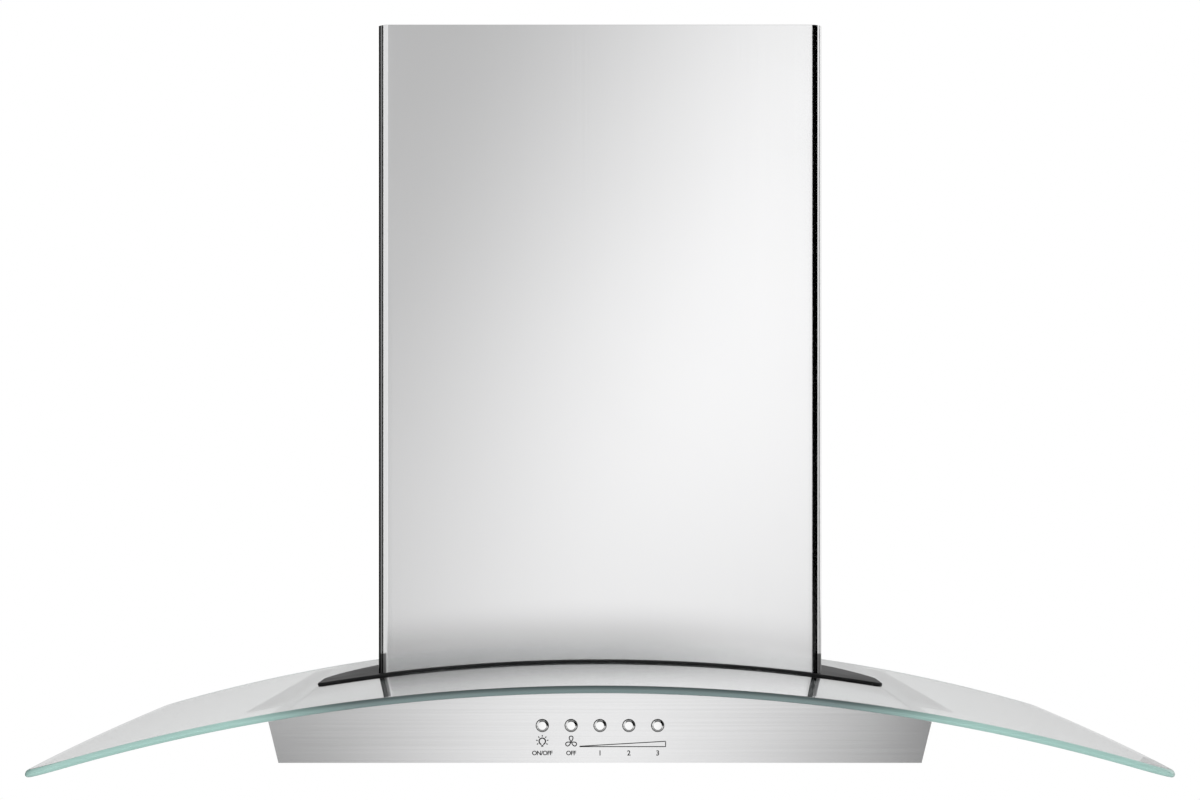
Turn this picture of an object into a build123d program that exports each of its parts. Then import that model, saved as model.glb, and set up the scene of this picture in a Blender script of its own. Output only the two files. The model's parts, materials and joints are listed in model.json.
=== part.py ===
from build123d import *
from math import cos, pi, radians, sin, sqrt, tan
import os

# Wall mounted range hood with a bent glass canopy, in millimetres.
# X runs along the wall, to the right as seen from the front. Y points into the wall, whose face is Y = 0.
# Z is up. The origin is midway between the two holes of the wall bracket, on the face of the wall.
# An arch offset is a distance above the top face of the glass, square to it: negative is below that face.

# Glass canopy
canopy_width = 914.0
canopy_depth = 498.0
canopy_back_width = 860.0
canopy_side_bow = 12.0
canopy_bend_radius = 1534.0
glass_thickness = 6.0
glass_front_radius = 36.0
glass_back_radius = 12.0
glass_edge_round = 2.0
glass_wall_gap = 2.0
mount_above_glass = 200.0
cut_over = 1.0
notch_margin = 4.0
notch_corner_radius = 15.0

# Hood body, fascia and bottom panel
sill_width = 506.0
sill_below_glass = 61.3
body_side_lean = 13.8
glass_overhang = 8.0
body_sheet = 1.0
body_flange = 14.0
fascia_sheet = 1.2
fascia_lip = 13.0
fascia_glass_gap = 0.5
panel_sheet = 1.2
panel_gap = 0.3
seal_thickness = 1.5
seal_gap = 0.1
seal_width = 10.0
seal_inset = 3.0
seal_ledge = 20.0
air_opening_margin = 6.0
lower_hole_spacing = 400.0
lower_hole_radius = 3.25
lower_hole_height = 24.0
panel_screw_inset = 50.0

# Chimney covers and the trim they stand on
chimney_width = 394.0
chimney_depth = 250.0
chimney_height = 565.0
chimney_sheet = 0.8
chimney_corner_radius = 9.0
chimney_return = 12.0
telescope_gap = 0.6
upper_cover_length = 470.0
upper_cover_drop = 3.0
vent_slot_length = 44.0
vent_slot_width = 4.0
vent_slot_pitch = 12.0
vent_slot_count = 6
vent_slot_below_top = 60.0
trim_height = 1.8
trim_front_step = 7.0
trim_side_step = 3.0
trim_tuck = 6.0
trim_ear_reach = 56.0
trim_ear_length = 144.0
trim_tip_length = 57.0
trim_ear_bow = 8.0
trim_tip_radius = 9.0

# Chimney fixings
fixing_sheet = 1.5
fixing_height = 20.0
fixing_above_glass = 22.0
fixing_depth = 24.0
fixing_from_wall = 40.0
top_bracket_sheet = 1.5
top_bracket_height = 30.0
top_bracket_drop = 12.0
top_bracket_step = 6.0
top_bracket_arm = 30.0
top_bracket_gap = 0.2
top_hole_spacing = 240.0
top_hole_radius = 3.25

# Blower box and wall bracket
box_side_gap = 57.0
box_height = 290.0
box_front_gap = 18.0
box_wall_gap = 14.0
box_sheet = 1.0
box_flange = 10.0
bracket_width = 280.0
bracket_sheet = 2.0
bracket_drop = 22.0
bracket_web_height = 12.0
bracket_lip_height = 32.0
bracket_stand_off = 8.0
bracket_hole_spacing = 220.0
bracket_hole_radius = 4.25
hook_width = 30.0
hook_spacing = 160.0
hook_reach = 16.0
hook_sheet = 2.0
hook_gap = 0.5

# Scroll, impeller and motor, on one axis along X
fan_above_glass = 140.0
scroll_width = 118.0
scroll_sheet = 1.0
scroll_tongue_gap = 8.0
scroll_wall_gap = 12.0
scroll_tongue_angle = 60.0
diffuser_back_gap = 36.0
inlet_radius = 58.0
inlet_lip = 5.0
impeller_radius = 72.0
impeller_eye_radius = 60.0
impeller_end_gap = 5.0
impeller_ring = 3.0
impeller_disc = 2.0
blade_count = 36
blade_sheet = 1.0
blade_sweep = 9.0
blade_camber = 3.1
blade_inset = 0.3
hub_radius = 14.0
hub_length = 34.0
shaft_radius = 4.0
shaft_fit = 0.05
motor_radius = 46.0
motor_side_gap = 19.0
motor_wall = 2.0
motor_plate = 2.0
motor_lug_circle = 52.0
motor_lug_radius = 6.0
motor_lug_count = 3
grommet_height = 4.0
bearing_radius = 9.0
bearing_length = 8.0
bearing_boss_radius = 12.0
stator_length = 24.0
stator_bore = 25.0
winding_length = 4.0
winding_inset = 3.5
rotor_air_gap = 0.6
motor_fit = 0.2
capacitor_radius = 15.0
capacitor_length = 52.0
capacitor_gap = 0.3
capacitor_from_back = 45.0
clip_sheet = 1.2
clip_height = 14.0
clip_opening = 16.0
clip_foot = 12.0
capacitor_round = 3.0
tag_spacing = 12.0
tag_width = 6.0
tag_sheet = 0.8
tag_length = 8.0

# Duct collar and its two damper flaps
collar_radius = 75.5
collar_height = 46.0
collar_sheet = 1.0
collar_flange = 164.0
collar_flange_sheet = 1.2
damper_ledge = 5.0
damper_height = 6.0
damper_sheet = 1.0
damper_edge_gap = 0.9
damper_pin_radius = 1.5
damper_pin_fit = 0.06
damper_pin_recess = 0.4
damper_knuckle_radius = 2.6
damper_knuckle_gap = 0.5
damper_knuckle_length = 28.0
damper_hinge_gap = 3.2

# Wiring box on the blower box
wiring_collar_gap = 3.0
wiring_depth = 84.0
wiring_height = 40.0
wiring_sheet = 1.0
wiring_side_gap = 4.0
wiring_from_back = 20.0
gland_bore = 7.0
gland_radius = 11.0
gland_flange = 15.0
gland_height = 14.0
gland_nut_height = 7.0
gland_depth = 7.0
gland_fit = 0.1
terminal_width = 34.0
terminal_depth = 16.0
terminal_height = 14.0
terminal_ways = 3
terminal_well = 7.0

# Push buttons and their switch bank
button_names = [
    "light_button",
    "fan_off_button",
    "low_speed_button",
    "medium_speed_button",
    "high_speed_button",
]
button_pitch = 22.7
button_below_glass = 31.9
button_radius = 4.6
button_hole_radius = 5.2
button_stand_out = 2.5
button_length = 9.0
button_edge_round = 1.6
button_travel = 3.0
button_spring_solid = 4.0
spring_wire_radius = 0.3
spring_coil_radius = 3.8
spring_turns = 4
spring_end_gap = 0.4
button_stem_radius = 3.0
button_stem_length = 18.0
button_stem_fit = 0.1
button_cap_fit = 0.4
bank_depth = 32.0
bank_height = 18.0
bank_margin = 12.0
bank_window_margin = 3.0

# Control box beside the switch bank
control_depth = 80.0
control_height = 32.0
control_wall = 1.6
control_gap = 8.0
control_lid = 2.0
board_sheet = 1.6
board_post = 4.0
board_inset = 1.0
board_margin = 6.0
post_radius = 1.6
post_inset = 4.8
transformer_share = 0.42
transformer_height = 18.0
relay_depth = 20.0
relay_height = 13.0
filter_can_radius = 4.5
filter_can_height = 15.0

# Lamps
lamp_from_sill_end = 63.0
lamp_behind_fascia = 60.0
lamp_radius = 27.0
lamp_bezel_radius = 33.0
lamp_bezel_height = 2.5
lamp_wall = 1.5
lamp_height = 20.0
lamp_fit = 0.3
lamp_lens_thickness = 3.0
lamp_lens_rise = 1.0
lamp_lip = 2.5
lamp_board_radius = 22.0
lamp_board_thickness = 3.0
lamp_sink_fins = 7
lamp_sink_fin = 1.6
lamp_sink_height = 8.0

# Grease filters
filter_from_sill_end = 18.0
filter_behind_fascia = 122.0
filter_thickness = 9.0
filter_gap = 2.0
filter_bar = 14.0
filter_middle_gap = 18.0
filter_from_back = 40.0
mesh_thickness = 5.0
mesh_groove = 5.0
mesh_fit = 0.2
mesh_columns = 12
mesh_rows = 18
mesh_hole_share = 0.78
filter_pin_radius = 2.0
filter_pin_fit = 0.06
lug_sheet = 3.0
lug_side_gap = 1.0
lug_radius = 5.0
latch_width = 28.0
latch_sheet = 1.4
latch_overlap = 4.0
latch_travel = 6.0
latch_stop = 1.5
latch_fit = 0.3
latch_tab_width = 16.0
latch_tab_length = 5.5
latch_tab_drop = 5.0

# Fasteners
screw_radius = 2.0
screw_fit = 0.1
screw_head_radius = 4.0
screw_head_height = 2.4
screw_slot = 0.9
screw_slot_length = 4.8
screw_slot_depth = 1.4
screw_head_round = 1.4
screw_tail = 3.0
washer_radius = 7.5
washer_thickness = 1.5
glass_screw_inset = 12.0
glass_screw_front_gap = 26.0
glass_screw_back_gap = 54.0
glass_hole_radius = 5.0

# Levels and faces that follow from the sizes above
glass_top = -mount_above_glass
glass_front = -(glass_wall_gap + canopy_depth)
fascia_bottom = glass_top - sill_below_glass
body_bottom = fascia_bottom + fascia_sheet
fascia_front = glass_front + glass_overhang
body_front = fascia_front + fascia_sheet
body_inner_front = body_front + body_sheet
roof_offset = -(glass_thickness + seal_gap + seal_thickness)
panel_bottom = body_bottom + body_sheet
panel_top = panel_bottom + panel_sheet
lean_slope = tan(radians(body_side_lean))
lean_sheet = body_sheet / cos(radians(body_side_lean))
chimney_top = glass_top + chimney_height
upper_top = chimney_top - upper_cover_drop
upper_inset = chimney_sheet + telescope_gap
upper_inner_half = chimney_width / 2 - upper_inset - chimney_sheet
box_top = glass_top + box_height
box_front = -chimney_depth + box_front_gap
box_back = -box_wall_gap
box_half = chimney_width / 2 - box_side_gap
notch_half = box_half + box_flange + notch_margin
notch_front = box_front - notch_margin
box_inner_top = box_top - box_sheet
air_front = box_front + air_opening_margin
air_back = box_back - air_opening_margin
air_half = box_half - air_opening_margin
fan_y = (box_front + box_back) / 2
fan_z = glass_top + fan_above_glass
scroll_half = scroll_width / 2
scroll_tongue_radius = impeller_radius + scroll_tongue_gap
scroll_front_radius = (box_back - box_front) / 2 - box_sheet - scroll_wall_gap
motor_start = scroll_half + scroll_sheet + grommet_height
motor_end = box_half - box_sheet - motor_side_gap
motor_length = motor_end - motor_start - motor_plate
button_z = glass_top - button_below_glass
bank_half = button_pitch * (len(button_names) - 1) / 2 + bank_margin
bank_back = body_inner_front + bank_depth
button_cap_back = fascia_front - button_stand_out + button_length
button_well_end = button_cap_back + button_travel + button_spring_solid
lamp_from_middle = sill_width / 2 - lamp_from_sill_end
lamp_y = fascia_front + lamp_behind_fascia
filter_back = -filter_from_back
filter_front = fascia_front + filter_behind_fascia
filter_length = filter_back - filter_front
filter_width = sill_width / 2 - filter_from_sill_end - filter_middle_gap / 2
filter_mid_z = panel_bottom + filter_thickness / 2
filter_mid_x = (filter_middle_gap + filter_width) / 2
damper_z = box_top + damper_height


def along_x(sketch, x_low, x_high):
    """Extrudes a sketch drawn in Y and Z from one X to another."""
    return extrude(Plane.YZ.offset(x_low) * sketch, x_high - x_low)


def along_y(sketch, y_low, y_high):
    """Extrudes a sketch drawn in X and Z from one Y to another."""
    return extrude(Plane.XZ.offset(-y_high) * sketch, y_high - y_low)


def along_z(sketch, z_low, z_high):
    """Extrudes a sketch drawn in X and Y from one Z to another."""
    return extrude(Plane.XY.offset(z_low) * sketch, z_high - z_low)


def block(x_low, x_high, y_low, y_high, z_low, z_high):
    """A box between two corners."""
    middle = Pos((x_low + x_high) / 2, (y_low + y_high) / 2, (z_low + z_high) / 2)
    return middle * Box(x_high - x_low, y_high - y_low, z_high - z_low)


def panel(x_low, x_high, y_low, y_high):
    """A rectangle in plan between two corners."""
    return Pos((x_low + x_high) / 2, (y_low + y_high) / 2) * Rectangle(x_high - x_low, y_high - y_low)


def rod_x(radius, x_low, x_high, y, z):
    """A round bar along X."""
    return along_x(Pos(y, z) * Circle(radius), x_low, x_high)


def rod_y(radius, y_low, y_high, x, z):
    """A round bar along Y."""
    return along_y(Pos(x, z) * Circle(radius), y_low, y_high)


def rod_z(radius, z_low, z_high, x, y):
    """A round bar along Z."""
    return along_z(Pos(x, y) * Circle(radius), z_low, z_high)


def both_sides(shape):
    """A shape and its mirror image across the middle of the hood."""
    return shape + mirror(shape, about=Plane.YZ)


def arch_z(x, offset):
    """Height of the arched surface at one arch offset, at a distance from the middle."""
    return glass_top - canopy_bend_radius + sqrt((canopy_bend_radius + offset) ** 2 - x**2)


def arch(offset):
    """A round bar along Y, deeper than the hood, whose top is the arched surface at one arch offset."""
    length = 3 * canopy_depth
    return rod_y(canopy_bend_radius + offset, -length, length, 0, glass_top - canopy_bend_radius)


def arched_plate(plan, low, high):
    """The arched sheet between two arch offsets, cut to an outline in plan."""
    lowest = arch_z(canopy_width / 2, low) - glass_thickness
    return along_z(plan, lowest, glass_top + high + cut_over) & (arch(high) - arch(low))


def notch_plan(margin):
    """The cut-out of the glass for the blower box, open at the back, grown by a margin."""
    half = notch_half + margin
    cut = panel(-half, half, notch_front - margin, glass_wall_gap)
    front = cut.vertices().sort_by(Axis.Y)[:2]
    return fillet(front, notch_corner_radius + margin)


def body_half(z):
    """Half the outer width of the hood body at a height."""
    return sill_width / 2 + (z - fascia_bottom) * lean_slope


def body_section(inset, z_low):
    """The hood body's outline seen from the front, moved in by an inset, from a height up past the glass."""
    low, high = body_half(z_low) - inset, body_half(glass_top) - inset
    return make_face(Polyline((-low, z_low), (low, z_low), (high, glass_top), (-high, glass_top), close=True))


def screw(length):
    """A pan head screw with a cross slot: its head stands on Z = 0 and its shank points down."""
    head = Cylinder(screw_head_radius, screw_head_height, align=(Align.CENTER, Align.CENTER, Align.MIN))
    head = fillet(head.edges().sort_by(Axis.Z)[-1:], screw_head_round)
    slot = Box(screw_slot_length, screw_slot, 2 * screw_slot_depth)
    cross = Pos(0, 0, screw_head_height) * (slot + Rot(0, 0, 90) * slot)
    shank = Cylinder(screw_radius, length, align=(Align.CENTER, Align.CENTER, Align.MAX))
    return head - cross + shank


def screws_at(length, places):
    """Equal screws, one at each place."""
    return Compound(children=[place * screw(length) for place in places])


def flush_screw(fit, length):
    """A countersunk screw without its slot, grown by a fit: head flat on Z = 0, shank pointing up."""
    low = (Align.CENTER, Align.CENTER, Align.MIN)
    head_height = screw_head_radius - screw_radius
    head = Cone(screw_head_radius + fit, screw_radius + fit, head_height, align=low)
    return head + Cylinder(screw_radius + fit, length, align=low)


def glass_canopy():
    """The bent glass sheet, with bowed side edges, a cut-out for the blower box and four fixing holes."""
    half, back_half = canopy_width / 2, canopy_back_width / 2
    front, back = glass_front, -glass_wall_gap
    chord = Vector(back_half - half, back - front)
    middle = Vector((half + back_half) / 2, (front + back) / 2)
    bow = middle + Vector(chord.Y, -chord.X).normalized() * canopy_side_bow
    right = ThreePointArc((half, front), (bow.X, bow.Y), (back_half, back))
    left = ThreePointArc((-back_half, back), (-bow.X, bow.Y), (-half, front))
    front_line = Line((-half, front), (half, front))
    back_line = Line((back_half, back), (-back_half, back))
    plan = make_face([front_line, right, back_line, left])
    plan = fillet(plan.vertices().sort_by(Axis.Y)[:2], glass_front_radius)
    plan = fillet(plan.vertices().sort_by(Axis.Y)[-2:], glass_back_radius)
    sheet = arched_plate(plan, -glass_thickness, 0)
    sheet = fillet(sheet.faces().sort_by(SortBy.AREA)[-2:].edges(), glass_edge_round)
    low, high = glass_top - 3 * glass_thickness, glass_top + glass_thickness
    sheet -= along_z(notch_plan(0), low, high)
    for x, y in glass_screw_places():
        sheet -= rod_z(glass_hole_radius, low, high, x, y)
    return sheet


def glass_screw_places():
    """Where the four screws hold the glass down, in plan: beside the cut-out, under the chimney's trim."""
    x = notch_half + glass_screw_inset
    front, back = notch_front + glass_screw_front_gap, -glass_screw_back_gap
    return [(side * x, y) for side in (-1, 1) for y in (front, back)]


def glass_seal():
    """The rubber strip that the glass lies on: one ring along the body's edge and one round the cut-out."""
    edge = body_half(arch_z(sill_width / 2, roof_offset)) - seal_inset
    outer = panel(-edge, edge, body_front + seal_inset, -glass_wall_gap - seal_inset)
    inner = panel(
        -edge + seal_width,
        edge - seal_width,
        body_front + seal_inset + seal_width,
        -glass_wall_gap - seal_inset - seal_width,
    )
    hole_half = notch_half + seal_ledge
    collar = panel(-hole_half, hole_half, notch_front - seal_ledge, -glass_wall_gap - seal_inset)
    plan = (outer - inner) + collar - notch_plan(seal_inset)
    strip = arched_plate(plan, roof_offset, roof_offset + seal_thickness)
    for x, y in glass_screw_places():
        strip -= rod_z(glass_hole_radius, glass_top - 4 * glass_thickness, glass_top, x, y)
    return strip


def hood_body():
    """The folded steel box under the glass: leaning sides, back, front, arched roof and a bottom flange."""
    outer = along_y(body_section(0, body_bottom), body_front, 0) & arch(roof_offset)
    hollow = along_y(body_section(lean_sheet, panel_bottom), body_inner_front, -body_sheet)
    hollow &= arch(roof_offset - body_sheet)
    rim = body_half(body_bottom) - body_flange
    mouth = panel(-rim, rim, body_front + body_flange, -body_flange)
    mouth = along_z(mouth, body_bottom - cut_over, panel_bottom + cut_over)
    shell = outer - hollow - mouth
    air = panel(-air_half, air_half, air_front, air_back)
    shell -= along_z(air, glass_top - sill_below_glass / 2, glass_top)
    window = Rectangle(2 * (bank_half - bank_window_margin), bank_height - 2 * bank_window_margin)
    shell -= along_y(Pos(0, button_z) * window, body_front - cut_over, body_inner_front + cut_over)
    for x in (-lower_hole_spacing / 2, lower_hole_spacing / 2):
        shell -= rod_y(lower_hole_radius, -2 * body_sheet, cut_over, x, body_bottom + lower_hole_height)
    for x, y in glass_screw_places() + box_screw_places():
        shell -= rod_z(screw_radius + screw_fit, glass_top - sill_below_glass / 2, glass_top, x, y)
    for place in panel_screw_places():
        shell -= place * flush_screw(screw_fit, panel_screw_length())
    return shell


def front_fascia():
    """The polished control panel over the front of the body, with button holes and a lip folded under it."""
    face = along_y(body_section(0, fascia_bottom), fascia_front, body_front)
    face &= arch(-glass_thickness - fascia_glass_gap)
    half = sill_width / 2
    lip = block(-half, half, fascia_front, body_front + fascia_lip, fascia_bottom, body_bottom)
    plate = face + lip
    for x in button_places():
        plate -= rod_y(button_hole_radius, fascia_front - cut_over, body_front + cut_over, x, button_z)
    for place in panel_screw_places():
        plate -= place * flush_screw(screw_fit, panel_screw_length())
    return plate


def button_places():
    """Where the buttons stand along the fascia, from left to right."""
    first = -button_pitch * (len(button_names) - 1) / 2
    return [first + button_pitch * i for i in range(len(button_names))]


def panel_screw_places():
    """The bottom panel's screws: three along its back, and three in front through the fascia's lip."""
    reach = sill_width / 2 - panel_screw_inset
    rows = [(-(body_flange + body_sheet) / 2, body_bottom), (body_front + body_flange / 2, fascia_bottom)]
    return [Pos(x, y, z) for y, z in rows for x in (-reach, 0.0, reach)]


def panel_screw_length():
    """Length of the bottom panel's screws, from the flat of the head to the tip."""
    return fascia_sheet + body_sheet + panel_sheet + screw_tail


def bottom_panel():
    """The steel panel that closes the body from below, with two filter openings and two lamp holes."""
    half = body_half(panel_bottom) - lean_sheet - panel_gap
    sheet = along_z(
        panel(-half, half, body_inner_front + panel_gap, -body_sheet - panel_gap), panel_bottom, panel_top
    )
    low, high = filter_mid_x - filter_width / 2 - filter_gap, filter_mid_x + filter_width / 2 + filter_gap
    opening = panel(low, high, filter_front - filter_gap, filter_back + filter_thickness / 2 + filter_gap)
    sheet -= both_sides(along_z(opening, fascia_bottom, panel_top + cut_over))
    for x in (-lamp_from_middle, lamp_from_middle):
        sheet -= rod_z(lamp_radius + lamp_fit, fascia_bottom, panel_top + cut_over, x, lamp_y)
    for place in panel_screw_places():
        sheet -= place * flush_screw(screw_fit, panel_screw_length())
    return sheet


def hinge_lugs():
    """Four open hooks on the bottom panel that carry the pins of the filters."""
    inner = filter_mid_x - filter_width / 2 - lug_side_gap
    outer = filter_mid_x + filter_width / 2 + lug_side_gap + filter_gap
    side = panel_lug_section()
    starts = (inner - lug_sheet - filter_gap, outer)
    lugs = [along_x(side, x, x + lug_sheet) for x in starts]
    lugs += [mirror(lug, about=Plane.YZ) for lug in lugs]
    return Compound(children=lugs)


def panel_lug_section():
    """A lug seen from the side: an upright tongue with a round seat for the pin that opens to the front."""
    tongue = Pos(filter_back, (panel_top + filter_mid_z + lug_radius) / 2) * Rectangle(
        2 * lug_radius, filter_mid_z + lug_radius - panel_top
    )
    seat = filter_pin_radius + filter_pin_fit
    slot = Pos(filter_back - lug_radius, filter_mid_z) * Rectangle(2 * lug_radius, 2 * seat)
    return tongue - slot - Pos(filter_back, filter_mid_z) * Circle(seat)


def lower_cover_plan(inset):
    """A chimney cover in plan: a U of sheet with rounded front corners and short returns at the back."""
    half, front, back = chimney_width / 2 - inset, -chimney_depth + inset, -inset
    radius = chimney_corner_radius - inset
    outer = fillet(panel(-half, half, front, back).vertices().sort_by(Axis.Y)[:2], radius)
    thick = chimney_sheet
    hollow = panel(-half + thick, half - thick, front + thick, back - thick)
    hollow = fillet(hollow.vertices().sort_by(Axis.Y)[:2], radius - thick)
    open_half = half - thick - chimney_return
    return outer - hollow - panel(-open_half, open_half, back - 2 * thick, back + thick)


def lower_chimney():
    """The lower chimney cover, whose bottom edge follows the trim on the bent glass."""
    cover = along_z(lower_cover_plan(0), glass_top - sill_below_glass, chimney_top) - arch(trim_height)
    for side in (-1, 1):
        x, reach = side * chimney_width / 2, chimney_sheet + cut_over
        y = -fixing_from_wall - fixing_depth / 2
        z = glass_top + fixing_above_glass + fixing_height / 2
        cover -= rod_x(screw_radius + screw_fit, x - reach, x + reach, y, z)
    return cover


def upper_chimney():
    """The upper chimney cover, which telescopes out of the lower one, with vent slots near its top."""
    cover = along_z(lower_cover_plan(upper_inset), upper_top - upper_cover_length, upper_top)
    reach = chimney_width / 2
    for i in range(vent_slot_count):
        z = upper_top - vent_slot_below_top - i * vent_slot_pitch
        slot = Pos(-chimney_depth / 2, z) * SlotOverall(vent_slot_length, vent_slot_width)
        cover -= along_x(slot, -reach, reach)
    return cover


def chimney_trim():
    """The black moulding between glass and chimney: a bar along the front with an ear at each side."""
    front = -chimney_depth - trim_front_step
    tip, side = chimney_width / 2 + trim_ear_reach, chimney_width / 2 + trim_side_step
    ear_start, ear_end = front + trim_tip_length, front + trim_ear_length
    chord = Vector(side - tip, ear_end - ear_start)
    middle = Vector((tip + side) / 2, (ear_start + ear_end) / 2)
    bow = middle + Vector(chord.Y, -chord.X).normalized() * trim_ear_bow
    back = -glass_wall_gap
    outline = [
        Line((-tip, front), (tip, front)),
        Line((tip, front), (tip, ear_start)),
        ThreePointArc((tip, ear_start), (bow.X, bow.Y), (side, ear_end)),
        Line((side, ear_end), (side, back)),
        Line((side, back), (-side, back)),
        Line((-side, back), (-side, ear_end)),
        ThreePointArc((-side, ear_end), (-bow.X, bow.Y), (-tip, ear_start)),
        Line((-tip, ear_start), (-tip, front)),
    ]
    plan = make_face(outline)
    plan = fillet(plan.vertices().filter_by(lambda v: v.Y < ear_start + cut_over), trim_tip_radius)
    inner = chimney_width / 2 - trim_tuck
    plan -= panel(-inner, inner, -chimney_depth + trim_tuck, back + cut_over)
    return arched_plate(plan, 0, trim_height)


def blower_box():
    """The steel box over the cut-out: open below, hung on the wall bracket by hooks, flanged to the body."""
    outer = block(-box_half, box_half, box_front, box_back, glass_top - sill_below_glass, box_top)
    hollow = block(
        -box_half + box_sheet,
        box_half - box_sheet,
        box_front + box_sheet,
        box_back - box_sheet,
        glass_top - 2 * sill_below_glass,
        box_inner_top,
    )
    walls = outer - hollow - arch(roof_offset)
    wing = panel(box_half - box_sheet, box_half + box_flange, box_front, box_back)
    flange = arched_plate(wing, roof_offset, roof_offset + box_sheet)
    for x, y in box_screw_places():
        flange -= rod_z(screw_radius + screw_fit, glass_top - 3 * glass_thickness, glass_top, abs(x), y)
    box = walls + both_sides(flange) + both_sides(wall_hook())
    throat = collar_radius - collar_sheet - damper_ledge
    box -= rod_z(throat, box_inner_top - cut_over, box_top + cut_over, 0, fan_y)
    for x, y in collar_screw_places():
        box -= rod_z(screw_radius + screw_fit, box_inner_top - cut_over, box_top + cut_over, x, y)
    return box


def wall_hook():
    """One hook on the back of the blower box, which drops behind the lip of the wall bracket."""
    low, high = hook_spacing / 2 - hook_width / 2, hook_spacing / 2 + hook_width / 2
    leg_front = -bracket_stand_off + bracket_sheet + hook_gap
    leg_back, seat = leg_front + hook_sheet, bracket_lip_height
    top = block(low, high, box_back, leg_back, seat, seat + hook_sheet)
    return top + block(low, high, leg_front, leg_back, seat - hook_reach, seat)


def box_screw_places():
    """Screws through the blower box's flanges into the body's roof."""
    x = box_half + box_flange / 2
    return [(side * x, y) for side in (-1, 1) for y in (box_front + box_flange, box_back - box_flange)]


def wall_bracket():
    """The bracket screwed to the wall: a flat with two holes, a web and a lip that stands off the wall."""
    half = bracket_width / 2
    flat = block(-half, half, -bracket_sheet, 0, -bracket_drop, bracket_web_height)
    web_low = bracket_web_height - bracket_sheet
    web = block(-half, half, -bracket_stand_off, 0, web_low, bracket_web_height)
    lip_back = -bracket_stand_off + bracket_sheet
    lip = block(-half, half, -bracket_stand_off, lip_back, web_low, bracket_lip_height)
    bracket = flat + web + lip
    for x in (-bracket_hole_spacing / 2, bracket_hole_spacing / 2):
        bracket -= rod_y(bracket_hole_radius, -bracket_sheet - cut_over, cut_over, x, 0)
    return bracket


def chimney_fixings():
    """Two angle brackets from the blower box to the lower chimney cover."""
    low = glass_top + fixing_above_glass
    back = -fixing_from_wall
    outer = chimney_width / 2 - chimney_sheet
    foot = block(box_half, box_half + fixing_sheet, back - fixing_depth, back, low, low + fixing_height)
    web = block(box_half, outer, back - fixing_sheet, back, low, low + fixing_height)
    pad = block(outer - fixing_sheet, outer, back - fixing_depth, back, low, low + fixing_height)
    hole = Pos(back - fixing_depth / 2, low + fixing_height / 2) * Circle(screw_radius + screw_fit)
    angle = foot + web + pad - along_x(hole, outer - fixing_sheet - cut_over, outer + cut_over)
    return Compound(children=[angle, mirror(angle, about=Plane.YZ)])


def chimney_screws():
    """The two screws that hold the lower chimney cover to its brackets."""
    y = -fixing_from_wall - fixing_depth / 2
    z = glass_top + fixing_above_glass + fixing_height / 2
    x = chimney_width / 2
    places = [Pos(x, y, z) * Rot(0, 90, 0), Pos(-x, y, z) * Rot(0, -90, 0)]
    return screws_at(fixing_sheet + screw_tail, places)


def top_bracket():
    """The bracket that holds the upper cover's top to the wall: a flat, a step at each end and two arms."""
    high = upper_top - top_bracket_drop
    low = high - top_bracket_height
    sheet = top_bracket_sheet
    outer = upper_inner_half - top_bracket_gap
    inner = chimney_width / 2 - chimney_sheet - chimney_return - telescope_gap - sheet
    step = -top_bracket_step - upper_inset
    flat = block(-inner, inner, -sheet, 0, low, high)
    riser = block(inner - sheet, inner, step, 0, low, high)
    tread = block(inner - sheet, outer, step - sheet, step, low, high)
    arm = block(outer - sheet, outer, step - top_bracket_arm, step, low, high)
    bracket = flat + both_sides(riser + tread + arm)
    for x in (-top_hole_spacing / 2, top_hole_spacing / 2):
        bracket -= rod_y(top_hole_radius, -sheet - cut_over, cut_over, x, (low + high) / 2)
    return bracket


def scroll_radius(angle):
    """Radius of the scroll's inside at an angle in degrees, growing evenly from the tongue to the front."""
    share = (scroll_tongue_angle - angle) / (scroll_tongue_angle + 180)
    return scroll_tongue_radius + (scroll_front_radius - scroll_tongue_radius) * share


def scroll_outline(extra):
    """The scroll seen from the side, moved out evenly by an extra, with its flared outlet up to the roof."""
    middle = Vector(fan_y, fan_z)
    steps = 8
    angles = [scroll_tongue_angle - (scroll_tongue_angle + 180) * i / steps for i in range(steps + 1)]
    ways = [Vector(cos(radians(a)), sin(radians(a))) for a in angles]
    spiral_points = [middle + way * (scroll_radius(a) + extra) for a, way in zip(angles, ways)]
    tongue = middle + ways[0] * scroll_tongue_radius
    outlet_back = Vector(box_back - box_sheet - diffuser_back_gap, box_inner_top)
    rise = (outlet_back - tongue).normalized()
    away = Vector(rise.Y, -rise.X)
    corner = tongue + (ways[0] + away) * (extra / (1 + ways[0].dot(away)))
    back_top = outlet_back + Vector(extra / away.X, 0)
    front_top = Vector(spiral_points[-1].X, box_inner_top)
    edges = [
        Spline(corner, *spiral_points[1:]),
        Line(spiral_points[-1], front_top),
        Line(front_top, back_top),
        Line(back_top, corner),
    ]
    return make_face(edges)


def scroll_wrap():
    """The spiral wall of the scroll."""
    return along_x(scroll_outline(scroll_sheet) - scroll_outline(0), -scroll_half, scroll_half)


def scroll_plate(x_low, hole_radius):
    """One flat side of the scroll with a round hole on the fan's axis."""
    side = scroll_outline(scroll_sheet) - Pos(fan_y, fan_z) * Circle(hole_radius)
    return along_x(side, x_low, x_low + scroll_sheet)


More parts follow.
